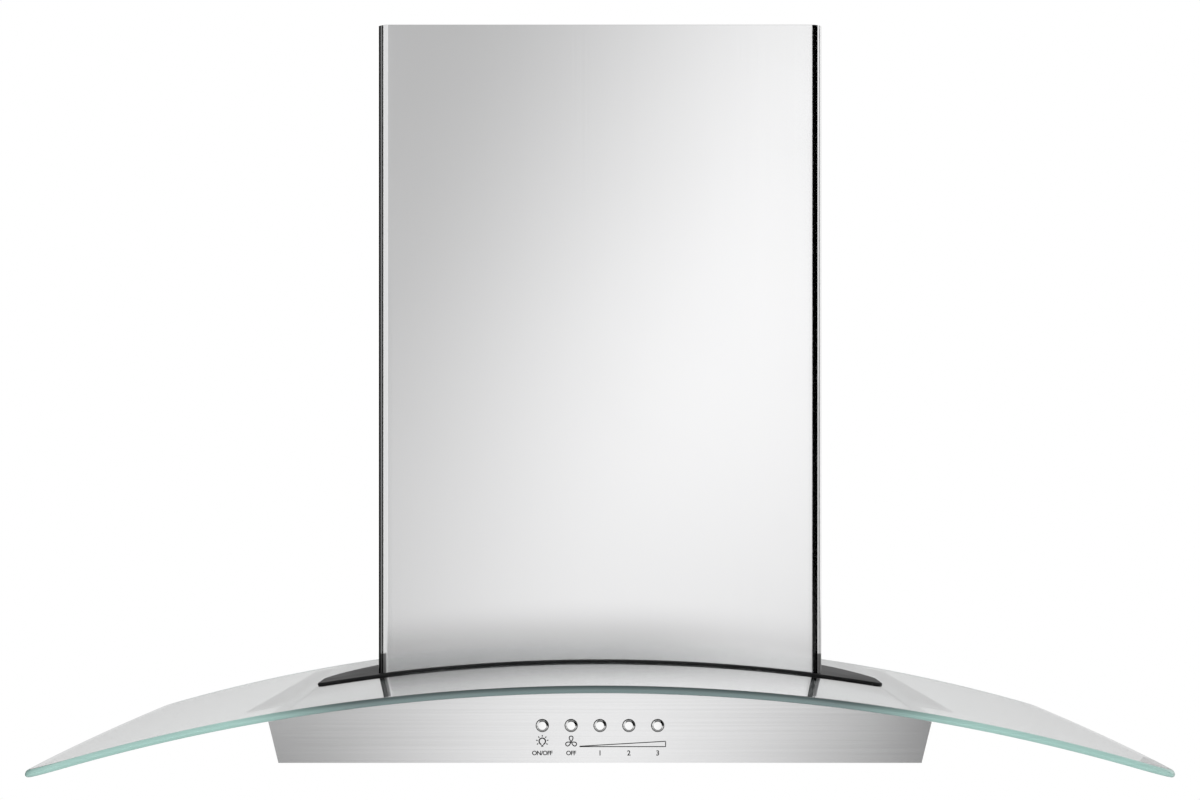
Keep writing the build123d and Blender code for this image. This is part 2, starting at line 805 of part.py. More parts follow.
def scroll_inlet_plate():
    """The left side of the scroll, drawn inwards into a rounded mouth that lets the air in."""
    plate = scroll_plate(-scroll_half - scroll_sheet, inlet_radius + inlet_lip)
    middle = (inlet_radius + inlet_lip, inlet_lip)
    quarter = Pos(*middle) * (Circle(inlet_lip) - Circle(inlet_lip - scroll_sheet))
    quarter &= Pos(inlet_radius + inlet_lip / 2, inlet_lip / 2) * Rectangle(inlet_lip, inlet_lip)
    mouth = Rot(0, 0, -90) * revolve(quarter, Axis.Y)
    return plate + Pos(-scroll_half - scroll_sheet, fan_y, fan_z) * mouth


def scroll_motor_plate():
    """The right side of the scroll, which carries the motor on three screws."""
    plate = scroll_plate(scroll_half, bearing_boss_radius + shaft_radius)
    for y, z in motor_lug_places():
        plate -= rod_x(screw_radius + screw_fit, scroll_half - cut_over, motor_start, y, z)
    return plate


def motor_lug_places():
    """Where the motor's lugs stand round its axis, as pairs of Y and Z."""
    turn = 2 * pi / motor_lug_count
    return [
        (fan_y + motor_lug_circle * cos(pi / 2 + turn * i), fan_z + motor_lug_circle * sin(pi / 2 + turn * i))
        for i in range(motor_lug_count)
    ]


def impeller():
    """The fan wheel: a back disc with a hub, a ring of forward curved blades and a front ring."""
    left, right = -scroll_half + impeller_end_gap, scroll_half - impeller_end_gap
    inner, outer = impeller_eye_radius, impeller_radius
    root, tip = inner + blade_inset, outer - blade_inset
    lean = radians(blade_sweep)
    thick = blade_sheet / 2
    middle = (inner + outer) / 2
    root_low, root_high = (root, -thick), (root, thick)
    tip_low = (tip * cos(lean), tip * sin(lean) - thick)
    tip_high = (tip * cos(lean), tip * sin(lean) + thick)
    blade = make_face(
        [
            ThreePointArc(root_low, (middle, blade_camber - thick), tip_low),
            Line(tip_low, tip_high),
            ThreePointArc(tip_high, (middle, blade_camber + thick), root_high),
            Line(root_high, root_low),
        ]
    )
    blades = Sketch() + [Rot(0, 0, 360 / blade_count * i) * blade for i in range(blade_count)]
    cage = along_x(Pos(fan_y, fan_z) * blades, left + impeller_ring / 2, right - impeller_disc / 2)
    disc = rod_x(outer, right - impeller_disc, right, fan_y, fan_z)
    ring = along_x(Pos(fan_y, fan_z) * (Circle(outer) - Circle(inner)), left, left + impeller_ring)
    hub = rod_x(hub_radius, right - hub_length, right, fan_y, fan_z)
    wheel = disc + ring + cage + hub
    return wheel - rod_x(shaft_radius + shaft_fit / 2, left - cut_over, right + cut_over, fan_y, fan_z)


def motor_shaft():
    """The steel shaft from the impeller's hub to the motor's rear bearing."""
    start = scroll_half - impeller_end_gap - hub_length - shaft_radius
    return rod_x(shaft_radius, start, motor_end - motor_wall, fan_y, fan_z)


def motor_rotor():
    """The rotor core on the shaft."""
    start, end = stator_span()
    core = rod_x(stator_bore - rotor_air_gap, start, end, fan_y, fan_z)
    return core - rod_x(shaft_radius + shaft_fit / 2, start - cut_over, end + cut_over, fan_y, fan_z)


def stator_span():
    """The two X at which the stator's core begins and ends, in the middle of the motor."""
    middle = motor_start + motor_plate + motor_length / 2
    return middle - stator_length / 2, middle + stator_length / 2


def motor_stator():
    """The stator's laminated core, pressed into the motor's casing."""
    start, end = stator_span()
    core = rod_x(motor_radius - motor_wall - motor_fit, start, end, fan_y, fan_z)
    return core - rod_x(stator_bore, start - cut_over, end + cut_over, fan_y, fan_z)


def motor_windings():
    """The copper end windings on both faces of the stator."""
    start, end = stator_span()
    outer, inner = motor_radius - motor_wall - winding_inset, stator_bore + winding_inset
    rings = []
    for low, high in ((start - winding_length, start), (end, end + winding_length)):
        rings.append(along_x(Pos(fan_y, fan_z) * (Circle(outer) - Circle(inner)), low, high))
    return Compound(children=rings)


def motor_casing():
    """The motor's deep drawn casing, with a seat for the rear bearing in its closed end."""
    start = motor_start + motor_plate
    cup = rod_x(motor_radius, start, motor_end, fan_y, fan_z)
    cup -= rod_x(motor_radius - motor_wall, start - cut_over, motor_end - motor_wall, fan_y, fan_z)
    floor = motor_end - motor_wall
    boss = rod_x(bearing_boss_radius, floor - bearing_length, floor, fan_y, fan_z)
    return cup + boss - rod_x(bearing_radius, floor - bearing_length - cut_over, floor, fan_y, fan_z)


def motor_front_plate():
    """The motor's front plate, with a seat for the front bearing and three lugs."""
    end = motor_start + motor_plate
    plate = rod_x(motor_radius, motor_start, end, fan_y, fan_z)
    for i in range(motor_lug_count):
        arm = Pos(motor_lug_circle / 2, 0) * Rectangle(motor_lug_circle, 2 * motor_lug_radius)
        arm += Pos(motor_lug_circle, 0) * Circle(motor_lug_radius)
        turn = Rot(0, 0, 90 + 360 / motor_lug_count * i)
        plate += along_x(Pos(fan_y, fan_z) * turn * arm, motor_start, end)
    plate += rod_x(bearing_boss_radius, motor_start, end + bearing_length - motor_plate, fan_y, fan_z)
    plate -= rod_x(bearing_radius, motor_start - cut_over, end + bearing_length, fan_y, fan_z)
    for place in motor_lug_places():
        plate -= rod_x(screw_radius + screw_fit, motor_start - cut_over, end + cut_over, *place)
    return plate


def motor_bearings():
    """The two plain bearings of the motor's shaft."""
    bushes = []
    for start in (motor_start, motor_end - motor_wall - bearing_length):
        bush = Pos(fan_y, fan_z) * (Circle(bearing_radius) - Circle(shaft_radius + shaft_fit))
        bushes.append(along_x(bush, start, start + bearing_length))
    return Compound(children=bushes)


def motor_grommets():
    """Three rubber grommets between the motor's lugs and the scroll."""
    start = scroll_half + scroll_sheet
    rings = []
    for y, z in motor_lug_places():
        ring = rod_x(motor_lug_radius, start, motor_start, y, z)
        rings.append(ring - rod_x(screw_radius + screw_fit, start - cut_over, motor_start + cut_over, y, z))
    return Compound(children=rings)


def motor_screws():
    """Three screws through the motor's lugs and grommets into the scroll."""
    length = motor_plate + grommet_height + scroll_sheet + cut_over
    x = motor_start + motor_plate
    return screws_at(length, [Pos(x, y, z) * Rot(0, 90, 0) for y, z in motor_lug_places()])


def capacitor_place():
    """The capacitor's axis in plan, beside the right wall of the blower box."""
    x = box_half - box_sheet - capacitor_gap - capacitor_radius - clip_sheet
    return x, box_back - capacitor_from_back


def run_capacitor():
    """The motor's run capacitor: a round can with a crimped base and two terminals."""
    x, y = capacitor_place()
    low = fan_z + motor_radius + clip_height
    can = rod_z(capacitor_radius, low, low + capacitor_length, x, y)
    can = fillet(can.edges().sort_by(Axis.Z)[-1:], capacitor_round)
    for middle in (x - tag_spacing / 2, x + tag_spacing / 2):
        tag = panel(middle - tag_width / 2, middle + tag_width / 2, y - tag_sheet / 2, y + tag_sheet / 2)
        can += along_z(tag, low - tag_length, low + cut_over)
    return can


def capacitor_clip():
    """The spring clip that holds the capacitor to the wall of the blower box."""
    x, y = capacitor_place()
    low = fan_z + motor_radius + clip_height + (capacitor_length - clip_height) / 2
    ring = Circle(capacitor_radius + capacitor_gap + clip_sheet) - Circle(capacitor_radius + capacitor_gap)
    ring -= Pos(-capacitor_radius, 0) * Rectangle(2 * capacitor_radius, clip_opening)
    foot = Pos(capacitor_radius + capacitor_gap + clip_sheet / 2, 0) * Rectangle(clip_sheet, clip_foot)
    return along_z(Pos(x, y) * (ring + foot), low, low + clip_height)


def outlet_collar():
    """The duct collar on the blower box: a square flange, a round spigot and a ledge for the damper flaps."""
    bore = collar_radius - collar_sheet
    half = collar_flange / 2
    flange_top = box_top + collar_flange_sheet
    flange = block(-half, half, fan_y - half, fan_y + half, box_top, flange_top)
    spigot = rod_z(collar_radius, box_top, box_top + collar_height, 0, fan_y)
    hollow = rod_z(bore, damper_z - damper_sheet / 2, box_top + collar_height + cut_over, 0, fan_y)
    throat = rod_z(bore - damper_ledge, box_top - cut_over, box_top + collar_height + cut_over, 0, fan_y)
    collar = flange + spigot - hollow - throat
    collar -= rod_x(damper_pin_radius, -collar_radius, collar_radius, fan_y, damper_z)
    for x, y in collar_screw_places():
        collar -= rod_z(screw_radius + screw_fit, box_top - cut_over, flange_top + cut_over, x, y)
    return collar


def collar_screw_places():
    """Screws at the corners of the duct collar's flange."""
    reach = collar_flange / 2 - 1.5 * screw_head_radius
    return [(sx * reach, fan_y + sy * reach) for sx in (-1, 1) for sy in (-1, 1)]


def damper_pin():
    """The rod across the duct collar that both damper flaps swing on."""
    reach = collar_radius - damper_pin_recess
    return rod_x(damper_pin_radius, -reach, reach, fan_y, damper_z)


def damper_flap(side, shift):
    """One half round flap on one side of the pin, with two knuckles that leave room for the other flap's."""
    radius = collar_radius - collar_sheet - damper_edge_gap
    half = Circle(radius) & (Pos(0, side * (radius + damper_hinge_gap)) * Rectangle(2 * radius, 2 * radius))
    length = damper_knuckle_length - damper_knuckle_gap
    starts = [shift * damper_knuckle_length, (shift + 2) * damper_knuckle_length]
    for start in starts:
        low, high = sorted((0, side * (damper_hinge_gap + cut_over)))
        half += panel(start, start + length, low, high)
    flap = along_z(Pos(0, fan_y) * half, damper_z - damper_sheet / 2, damper_z + damper_sheet / 2)
    for start in starts:
        flap += rod_x(damper_knuckle_radius, start, start + length, fan_y, damper_z)
    return flap - rod_x(damper_pin_radius + damper_pin_fit, -radius, radius, fan_y, damper_z)


def front_damper_flap():
    """The damper flap on the room's side of the pin."""
    return damper_flap(-1, -2)


def rear_damper_flap():
    """The damper flap on the wall's side of the pin."""
    return damper_flap(1, -1)


def wiring_place():
    """The wiring box's corners in plan, on the right of the blower box."""
    right = box_half - wiring_side_gap
    back = box_back - wiring_from_back
    return collar_flange / 2 + wiring_collar_gap, right, back - wiring_depth, back


def wiring_box():
    """The field wiring box on top of the blower box, open at its top."""
    left, right, front, back = wiring_place()
    t = wiring_sheet
    top = box_top + wiring_height
    case = block(left, right, front, back, box_top, top)
    return case - block(left + t, right - t, front + t, back - t, box_top + t, top + cut_over)


def wiring_cover():
    """The wiring box's lid, with a hole for the cable gland."""
    left, right, front, back = wiring_place()
    top = box_top + wiring_height
    lid = block(left, right, front, back, top, top + wiring_sheet)
    x, y = (left + right) / 2, (front + back) / 2
    return lid - rod_z(gland_radius + gland_fit, top - cut_over, top + wiring_sheet + cut_over, x, y)


def cable_gland():
    """The strain relief in the lid of the wiring box, bored for the house's supply cable."""
    left, right, front, back = wiring_place()
    x, y = (left + right) / 2, (front + back) / 2
    seat = box_top + wiring_height + wiring_sheet
    body = rod_z(gland_radius, seat - gland_depth, seat + gland_height, x, y)
    nut = along_z(Pos(x, y) * RegularPolygon(gland_flange, 6), seat, seat + gland_nut_height)
    return body + nut - rod_z(gland_bore, seat - gland_depth - cut_over, seat + gland_height + cut_over, x, y)


def terminal_block():
    """The terminal block on the floor of the wiring box, with three screw wells."""
    left, right, front, back = wiring_place()
    x, y = (left + right) / 2, back - wiring_sheet - terminal_depth
    low = box_top + wiring_sheet
    case = block(
        x - terminal_width / 2, x + terminal_width / 2, y - terminal_depth / 2, y + terminal_depth / 2, low,
        low + terminal_height,
    )
    pitch = terminal_width / terminal_ways
    top = low + terminal_height
    for i in range(terminal_ways):
        way = x + pitch * (i - (terminal_ways - 1) / 2)
        case -= rod_z(screw_radius, top - terminal_well, top + cut_over, way, y)
    return case


def button(x):
    """One push button: a round cap that stands out of the fascia, and the stem that works its switch."""
    front = fascia_front - button_stand_out
    cap = rod_y(button_radius, front, front + button_length, x, button_z)
    cap = fillet(cap.edges().sort_by(Axis.Y)[:1], button_edge_round)
    return cap + rod_y(button_stem_radius, front, front + button_length + button_stem_length, x, button_z)


def button_springs():
    """The five return springs, each round a stem between its button and the bottom of its well."""
    low, high = button_cap_back + spring_end_gap, button_well_end - spring_end_gap
    coil_height = high - low - 2 * spring_wire_radius
    path = Helix(coil_height / spring_turns, coil_height, spring_coil_radius)
    wire = sweep(Plane(path @ 0, z_dir=path % 0) * Circle(spring_wire_radius), path)
    upright = Rot(-90, 0, 0) * wire
    return Compound(children=[Pos(x, low + spring_wire_radius, button_z) * upright for x in button_places()])


def switch_bank():
    """The moulded block behind the fascia that guides the buttons and holds their switches."""
    low, high = button_z - bank_height / 2, button_z + bank_height / 2
    case = block(-bank_half, bank_half, body_inner_front, bank_back, low, high)
    stem_end = button_cap_back + button_stem_length + button_travel + spring_end_gap
    for x in button_places():
        case -= rod_y(button_radius + button_cap_fit, body_front, button_well_end, x, button_z)
        case -= rod_y(button_stem_radius + button_stem_fit, body_front, stem_end, x, button_z)
    return case


def control_place():
    """The control box's corners in plan, to the right of the switch bank."""
    left = bank_half + control_gap
    front = body_inner_front + panel_gap
    right = lamp_from_middle - lamp_radius - control_gap
    return left, right, front, front + control_depth


def control_box():
    """The tray on the bottom panel that holds the control board, with four posts."""
    left, right, front, back = control_place()
    t = control_wall
    top = panel_top + control_height
    tray = block(left, right, front, back, panel_top, top)
    tray -= block(left + t, right - t, front + t, back - t, panel_top + t, top + cut_over)
    for x in (left + post_inset, right - post_inset):
        for y in (front + post_inset, back - post_inset):
            tray += rod_z(post_radius, panel_top, panel_top + t + board_post, x, y)
    return tray


def control_board():
    """The control board on its posts: the board, a transformer, two relays and two capacitors."""
    left, right, front, back = control_place()
    t = control_wall + board_inset
    low = panel_top + control_wall + board_post
    top = low + board_sheet
    board = block(left + t, right - t, front + t, back - t, low, top)
    x, y = left + t + board_margin, front + t + board_margin
    parts_width = right - left - 2 * (t + board_margin)
    transformer_size = parts_width * transformer_share
    relay_width = (parts_width - transformer_size) / 2 - board_margin
    board += block(x, x + transformer_size, y, y + transformer_size, top, top + transformer_height)
    for i in (1, 2):
        relay = x + transformer_size + board_margin * i + relay_width * (i - 1)
        board += block(relay, relay + relay_width, y, y + relay_depth, top, top + relay_height)
        can_y = y + relay_depth + board_margin + 2 * filter_can_radius
        board += rod_z(filter_can_radius, top, top + filter_can_height, relay + relay_width / 2, can_y)
    return board


def control_lid_plate():
    """The lid of the control box."""
    left, right, front, back = control_place()
    top = panel_top + control_height
    return block(left, right, front, back, top, top + control_lid)


def lamp_housing(x):
    """One lamp's housing: a bezel under the bottom panel and a stepped round barrel above it."""
    low = panel_bottom - lamp_bezel_height
    bezel = rod_z(lamp_bezel_radius, low, panel_bottom, x, lamp_y)
    bezel = fillet(bezel.edges().sort_by(Axis.Z)[:1], lamp_bezel_height / 2)
    top = panel_bottom + lamp_height
    barrel = rod_z(lamp_radius, panel_bottom, top, x, lamp_y)
    bore = rod_z(lamp_radius - lamp_wall, low + lamp_lens_rise, top + cut_over, x, lamp_y)
    mouth = rod_z(lamp_radius - lamp_wall - lamp_lip, low - cut_over, top, x, lamp_y)
    return bezel + barrel - bore - mouth


def lamp_lens(x):
    """One lamp's frosted lens, which drops onto the step inside the bezel."""
    low = panel_bottom - lamp_bezel_height + lamp_lens_rise
    return rod_z(lamp_radius - lamp_wall - lamp_fit, low, low + lamp_lens_thickness, x, lamp_y)


def lamp_module(x):
    """One lamp's light source: a round board and emitter under a finned heat sink that closes the barrel."""
    seat = panel_bottom + lamp_height
    board = rod_z(lamp_board_radius, seat - lamp_board_thickness, seat, x, lamp_y)
    emitter = rod_z(lamp_board_radius / 2, seat - 2 * lamp_board_thickness, seat, x, lamp_y)
    plate = rod_z(lamp_radius, seat, seat + lamp_board_thickness, x, lamp_y)
    module = board + emitter + plate
    pitch = 2 * lamp_board_radius / lamp_sink_fins
    for i in range(lamp_sink_fins):
        shift = (i - (lamp_sink_fins - 1) / 2) * pitch
        half = sqrt(lamp_radius**2 - (abs(shift) + lamp_sink_fin) ** 2)
        fin = Pos(x + shift, lamp_y) * Rectangle(lamp_sink_fin, 2 * half)
        module += along_z(fin, seat, seat + lamp_board_thickness + lamp_sink_height)
    return module


def pair_of_lamps(make):
    """The same lamp piece on the left and on the right."""
    return Compound(children=[make(-lamp_from_middle), make(lamp_from_middle)])


def filter_frame(side):
    """One filter's frame: grooved bars, a rounded back bar with hinge pins and a pocket for the latch."""
    x = side * filter_mid_x
    half, bar = filter_width / 2, filter_bar
    top = panel_bottom + filter_thickness
    plan = panel(x - half, x + half, filter_front, filter_back)
    plan -= panel(x - half + bar, x + half - bar, filter_front + bar, filter_back - bar)
    frame = along_z(plan, panel_bottom, top)
    frame += rod_x(filter_thickness / 2, x - half, x + half, filter_back, filter_mid_z)
    groove = bar - mesh_groove
    groove_half = mesh_thickness / 2 + mesh_fit
    frame -= block(
        x - half + groove - mesh_fit,
        x + half - groove + mesh_fit,
        filter_front + groove - mesh_fit,
        filter_back - groove + mesh_fit,
        filter_mid_z - groove_half,
        filter_mid_z + groove_half,
    )
    pin = half + lug_side_gap + filter_gap + lug_sheet
    frame += rod_x(filter_pin_radius, x - pin, x + pin, filter_back, filter_mid_z) - block(
        x - half + cut_over, x + half - cut_over, filter_back - bar, filter_back + bar, panel_bottom, top
    )
    low = panel_top + latch_fit
    reach = latch_width / 2 + latch_fit
    end = filter_front + bar - latch_stop
    pocket = panel(x - reach, x + reach, filter_front - cut_over, end)
    frame -= along_z(pocket, low - latch_fit, low + latch_sheet + latch_fit)
    tab = latch_tab_width / 2 + latch_fit
    return frame - block(x - tab, x + tab, filter_front + latch_fit, end, panel_bottom - cut_over, low)


def filter_mesh(side):
    """One filter's metal mesh: a panel of staggered diamond holes held in the frame's groove."""
    inset = filter_bar - mesh_groove
    width, length = filter_width - 2 * inset, filter_length - 2 * inset
    clear_width, clear_length = filter_width - 2 * filter_bar, filter_length - 2 * filter_bar
    step_x, step_y = clear_width / mesh_columns, clear_length / mesh_rows
    hole = Polyline(
        (step_x * mesh_hole_share / 2, 0),
        (0, step_y * mesh_hole_share / 2),
        (-step_x * mesh_hole_share / 2, 0),
        (0, -step_y * mesh_hole_share / 2),
        close=True,
    )
    holes = [place * make_face(hole) for place in GridLocations(step_x, step_y, mesh_columns, mesh_rows)]
    plate = Rectangle(width, length) - holes
    place = Pos(side * filter_mid_x, (filter_front + filter_back) / 2)
    return along_z(place * plate, filter_mid_z - mesh_thickness / 2, filter_mid_z + mesh_thickness / 2)


def filter_latch(side):
    """One filter's sprung latch: a tongue that rests on the bottom panel, and a finger tab below."""
    x = side * filter_mid_x
    low = panel_top + latch_fit
    tip = filter_front - filter_gap - latch_overlap
    end = filter_front + filter_bar - latch_stop - latch_travel - latch_fit
    tongue = block(x - latch_width / 2, x + latch_width / 2, tip, end, low, low + latch_sheet)
    tab = block(
        x - latch_tab_width / 2,
        x + latch_tab_width / 2,
        end - latch_tab_length,
        end,
        panel_bottom - latch_tab_drop,
        low + latch_sheet / 2,
    )
    return tongue + tab


def glass_screws():
    """Four screws that hold the glass down on the body's roof."""
    places = []
    for x, y in glass_screw_places():
        places.append(Pos(x, y, arch_z(x, washer_thickness) + slope_lift(x)))
    return screws_at(glass_thickness + seal_thickness + washer_thickness + body_sheet + screw_tail, places)


def slope_lift(x):
    """How far a flat washer's higher edge stands above its middle on the arch."""
    return washer_radius * abs(x) / canopy_bend_radius


def glass_washers():
    """Four rubber washers under the heads of the glass screws, shaped to the arch below."""
    rings = []
    for x, y in glass_screw_places():
        low = glass_top - sill_below_glass
        top = arch_z(x, washer_thickness) + slope_lift(x)
        ring = rod_z(washer_radius, low, top, x, y) - arch(0)
        rings.append(ring - rod_z(screw_radius + screw_fit, low, top + cut_over, x, y))
    return Compound(children=rings)


def box_screws():
    """Four screws that fix the blower box to the body's roof, and four that fix the duct collar to it."""
    places = [
        Pos(x, y, arch_z(abs(x) - screw_head_radius, roof_offset + box_sheet)) for x, y in box_screw_places()
    ]
    places += [Pos(x, y, box_top + collar_flange_sheet) for x, y in collar_screw_places()]
    return screws_at(box_sheet + body_sheet + screw_tail, places)


def panel_screws():
    """Six countersunk screws that hold the bottom panel from below, three through the fascia's lip."""
    slot = Box(screw_slot_length, screw_slot, 2 * screw_slot_depth)
    cross = slot + Rot(0, 0, 90) * slot
    one = flush_screw(0, panel_screw_length()) - cross
    return Compound(children=[place * one for place in panel_screw_places()])


pieces = {
    "glass_canopy": glass_canopy(),
    "glass_seal": glass_seal(),
    "hood_body": hood_body(),
    "front_fascia": front_fascia(),
    "bottom_panel": bottom_panel(),
    "filter_hinge_lugs": hinge_lugs(),
    "lower_chimney": lower_chimney(),
    "upper_chimney": upper_chimney(),
    "chimney_trim": chimney_trim(),
    "chimney_fixings": chimney_fixings(),
    "chimney_screws": chimney_screws(),
    "chimney_top_bracket": top_bracket(),
    "blower_box": blower_box(),
    "wall_bracket": wall_bracket(),
    "scroll_wrap": scroll_wrap(),
    "scroll_inlet_plate": scroll_inlet_plate(),
    "scroll_motor_plate": scroll_motor_plate(),
    "impeller": impeller(),
    "motor_shaft": motor_shaft(),
    "motor_rotor": motor_rotor(),
    "motor_stator": motor_stator(),
    "motor_windings": motor_windings(),
    "motor_casing": motor_casing(),
    "motor_front_plate": motor_front_plate(),
    "motor_bearings": motor_bearings(),
    "motor_grommets": motor_grommets(),
    "motor_screws": motor_screws(),
    "run_capacitor": run_capacitor(),
    "capacitor_clip": capacitor_clip(),
    "outlet_collar": outlet_collar(),
    "damper_pin": damper_pin(),
    "front_damper_flap": front_damper_flap(),
    "rear_damper_flap": rear_damper_flap(),
    "wiring_box": wiring_box(),
    "wiring_cover": wiring_cover(),
    "cable_gland": cable_gland(),
    "terminal_block": terminal_block(),
    "switch_bank": switch_bank(),
    "control_box": control_box(),
    "control_board": control_board(),
    "control_lid": control_lid_plate(),
    "glass_screws": glass_screws(),
    "glass_washers": glass_washers(),
    "blower_box_screws": box_screws(),
    "panel_screws": panel_screws(),
    "button_springs": button_springs(),
    "lamp_housings": pair_of_lamps(lamp_housing),
    "lamp_lenses": pair_of_lamps(lamp_lens),
    "lamp_modules": pair_of_lamps(lamp_module),
}
for name, x in zip(button_names, button_places()):
    pieces[name] = button(x)
for word, side in (("left", -1), ("right", 1)):
    pieces[f"{word}_filter_frame"] = filter_frame(side)
    pieces[f"{word}_filter_mesh"] = filter_mesh(side)
    pieces[f"{word}_filter_latch"] = filter_latch(side)

os.makedirs("parts", exist_ok=True)
for name, shape in pieces.items():
    export_step(shape, f"parts/{name}.step")
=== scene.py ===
import json
import logging
import math
from dataclasses import dataclass
from enum import Enum
from typing import ClassVar, Sequence

import bmesh
import bpy
import numpy as np
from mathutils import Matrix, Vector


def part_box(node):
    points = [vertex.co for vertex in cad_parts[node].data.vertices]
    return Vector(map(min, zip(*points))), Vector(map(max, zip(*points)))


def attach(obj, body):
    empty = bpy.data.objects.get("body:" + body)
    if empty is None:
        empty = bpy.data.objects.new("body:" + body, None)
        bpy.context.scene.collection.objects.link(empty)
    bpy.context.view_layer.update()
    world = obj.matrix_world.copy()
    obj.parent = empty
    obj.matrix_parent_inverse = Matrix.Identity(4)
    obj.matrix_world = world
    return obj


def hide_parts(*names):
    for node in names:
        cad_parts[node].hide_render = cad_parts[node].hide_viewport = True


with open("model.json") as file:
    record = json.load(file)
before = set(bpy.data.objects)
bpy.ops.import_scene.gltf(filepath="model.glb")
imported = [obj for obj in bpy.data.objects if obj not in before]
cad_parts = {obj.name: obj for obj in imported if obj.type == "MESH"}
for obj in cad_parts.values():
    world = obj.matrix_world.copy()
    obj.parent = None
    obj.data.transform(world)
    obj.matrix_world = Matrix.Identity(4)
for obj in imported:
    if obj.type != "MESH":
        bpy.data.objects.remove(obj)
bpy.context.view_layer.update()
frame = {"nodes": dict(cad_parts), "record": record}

LOG = logging.getLogger("range_hood")

Rgb = tuple[float, float, float]
Point = tuple[float, float, float]
Plan = Sequence[float]
Socket = bpy.types.NodeSocket
Tree = bpy.types.NodeTree
Material = bpy.types.Material

# Points nearer than the weld are one, an edge under the speck has no length, and paths keep so many decimals
WELD = 2e-6
SPECK = 1e-7
PLACES = 7

MIRROR = np.array([-1.0, 1.0])
BLACK: Rgb = (0.0, 0.0, 0.0)
WHITE: Rgb = (1.0, 1.0, 1.0)


# Meshes

@dataclass
class Patch:
    """A grid of points whose neighbours are joined by four-sided faces.

    Attributes:
        points: Points, rows by columns by three, in metres.
        closed_rows: Whether the last row joins the first.
        closed_columns: Whether the last column joins the first.
        slot: Material slot of the faces.
    """

    points: np.ndarray
    closed_rows: bool = False
    closed_columns: bool = False
    slot: int = 0

    def faces(self, start: int) -> np.ndarray:
        """Gives the faces as point numbers.

        Args:
            start: Number of the patch's first point in the mesh.

        Returns:
            One row of four point numbers for each face.
        """
        rows, columns = self.points.shape[:2]
        index = np.arange(rows * columns).reshape(rows, columns)
        if self.closed_rows:
            index = np.vstack([index, index[:1]])
        if self.closed_columns:
            index = np.hstack([index, index[:, :1]])
        corners = [index[:-1, :-1], index[1:, :-1], index[1:, 1:], index[:-1, 1:]]
        return start + np.stack(corners, axis=-1).reshape(-1, 4)


def mesh_piece(name: str, patches: Sequence[Patch], crease: float = 35.0) -> bpy.types.Object:
    """Joins patches into one object, closes seams and poles and turns the faces outwards.

    Args:
        name: Name of the object.
        patches: The grids that make up its surface.
        crease: Angle in degrees past which an edge stays sharp.

    Returns:
        The new object, at the origin.
    """
    sizes = [patch.points.shape[0] * patch.points.shape[1] for patch in patches]
    starts = np.concatenate([[0], np.cumsum(sizes)[:-1]])
    points = np.concatenate([patch.points.reshape(-1, 3) for patch in patches])
    faces = [patch.faces(int(start)) for patch, start in zip(patches, starts)]
    slots = np.concatenate([np.full(len(some), patch.slot) for some, patch in zip(faces, patches)])
    mesh = bpy.data.meshes.new(name)
    mesh.from_pydata(points.tolist(), [], np.concatenate(faces).tolist())
    mesh.polygons.foreach_set("material_index", slots.astype(np.int32))
    seams = bmesh.new()
    seams.from_mesh(mesh)
    bmesh.ops.remove_doubles(seams, verts=seams.verts, dist=WELD)
    bmesh.ops.dissolve_degenerate(seams, edges=seams.edges, dist=SPECK)
    bmesh.ops.recalc_face_normals(seams, faces=seams.faces)
    seams.to_mesh(mesh)
    seams.free()
    mesh.polygons.foreach_set("use_smooth", np.ones(len(mesh.polygons), dtype=bool))
    mesh.set_sharp_from_angle(angle=math.radians(crease))
    piece = bpy.data.objects.new(name, mesh)
    bpy.context.scene.collection.objects.link(piece)
    return piece


def end_caps(points: np.ndarray, shift: int = 0) -> list[Patch]:
    """Closes both ends of a carried ring: half of each end's points face the other half in reverse.

    Args:
        points: The ring's points along its path, rows by columns by three.
        shift: Number of the point that the first half starts at.

    Returns:
        One patch for each end.
    """
    ring = np.roll(points, -shift, axis=1)
    half = ring.shape[1] // 2
    return [Patch(np.stack([end[:half], end[:half - 1:-1]])) for end in (ring[0], ring[-1])]


def level_points(first: np.ndarray | float, second: np.ndarray | float) -> np.ndarray:
    """Pairs up two coordinates, one of which may be the same for all points.

    Args:
        first: First coordinate.
        second: Second coordinate.

    Returns:
        The points in plan.
    """
    return np.stack(np.broadcast_arrays(first, second), axis=-1)


def run(path: np.ndarray, spacing: float) -> np.ndarray:
    """Adds points along a plan path's long straights, and keeps its own points.

    Args:
        path: Points in plan, one row each.
        spacing: Greatest distance between points.

    Returns:
        The path with the extra points.
    """
    along = np.concatenate([[0], np.cumsum(np.linalg.norm(np.diff(path, axis=0), axis=1))])
    extra = np.linspace(0, along[-1], int(along[-1] / spacing) + 2)
    every = np.unique(np.round(np.concatenate([along, extra]), PLACES))
    return np.stack([np.interp(every, along, path[:, axis]) for axis in (0, 1)], axis=-1)


def outward(path: np.ndarray, closed: bool = False) -> np.ndarray:
    """Gives the unit normals to the right of a plan path: the tangent turned clockwise.

    Args:
        path: Points in plan, one row each.
        closed: Whether the last point is followed by the first.

    Returns:
        One normal for each point.
    """
    if closed:
        tangent = np.roll(path, -1, axis=0) - np.roll(path, 1, axis=0)
    else:
        tangent = np.gradient(path, axis=0)
    tangent = tangent / np.linalg.norm(tangent, axis=1, keepdims=True)
    return np.stack([tangent[:, 1], -tangent[:, 0]], axis=-1)


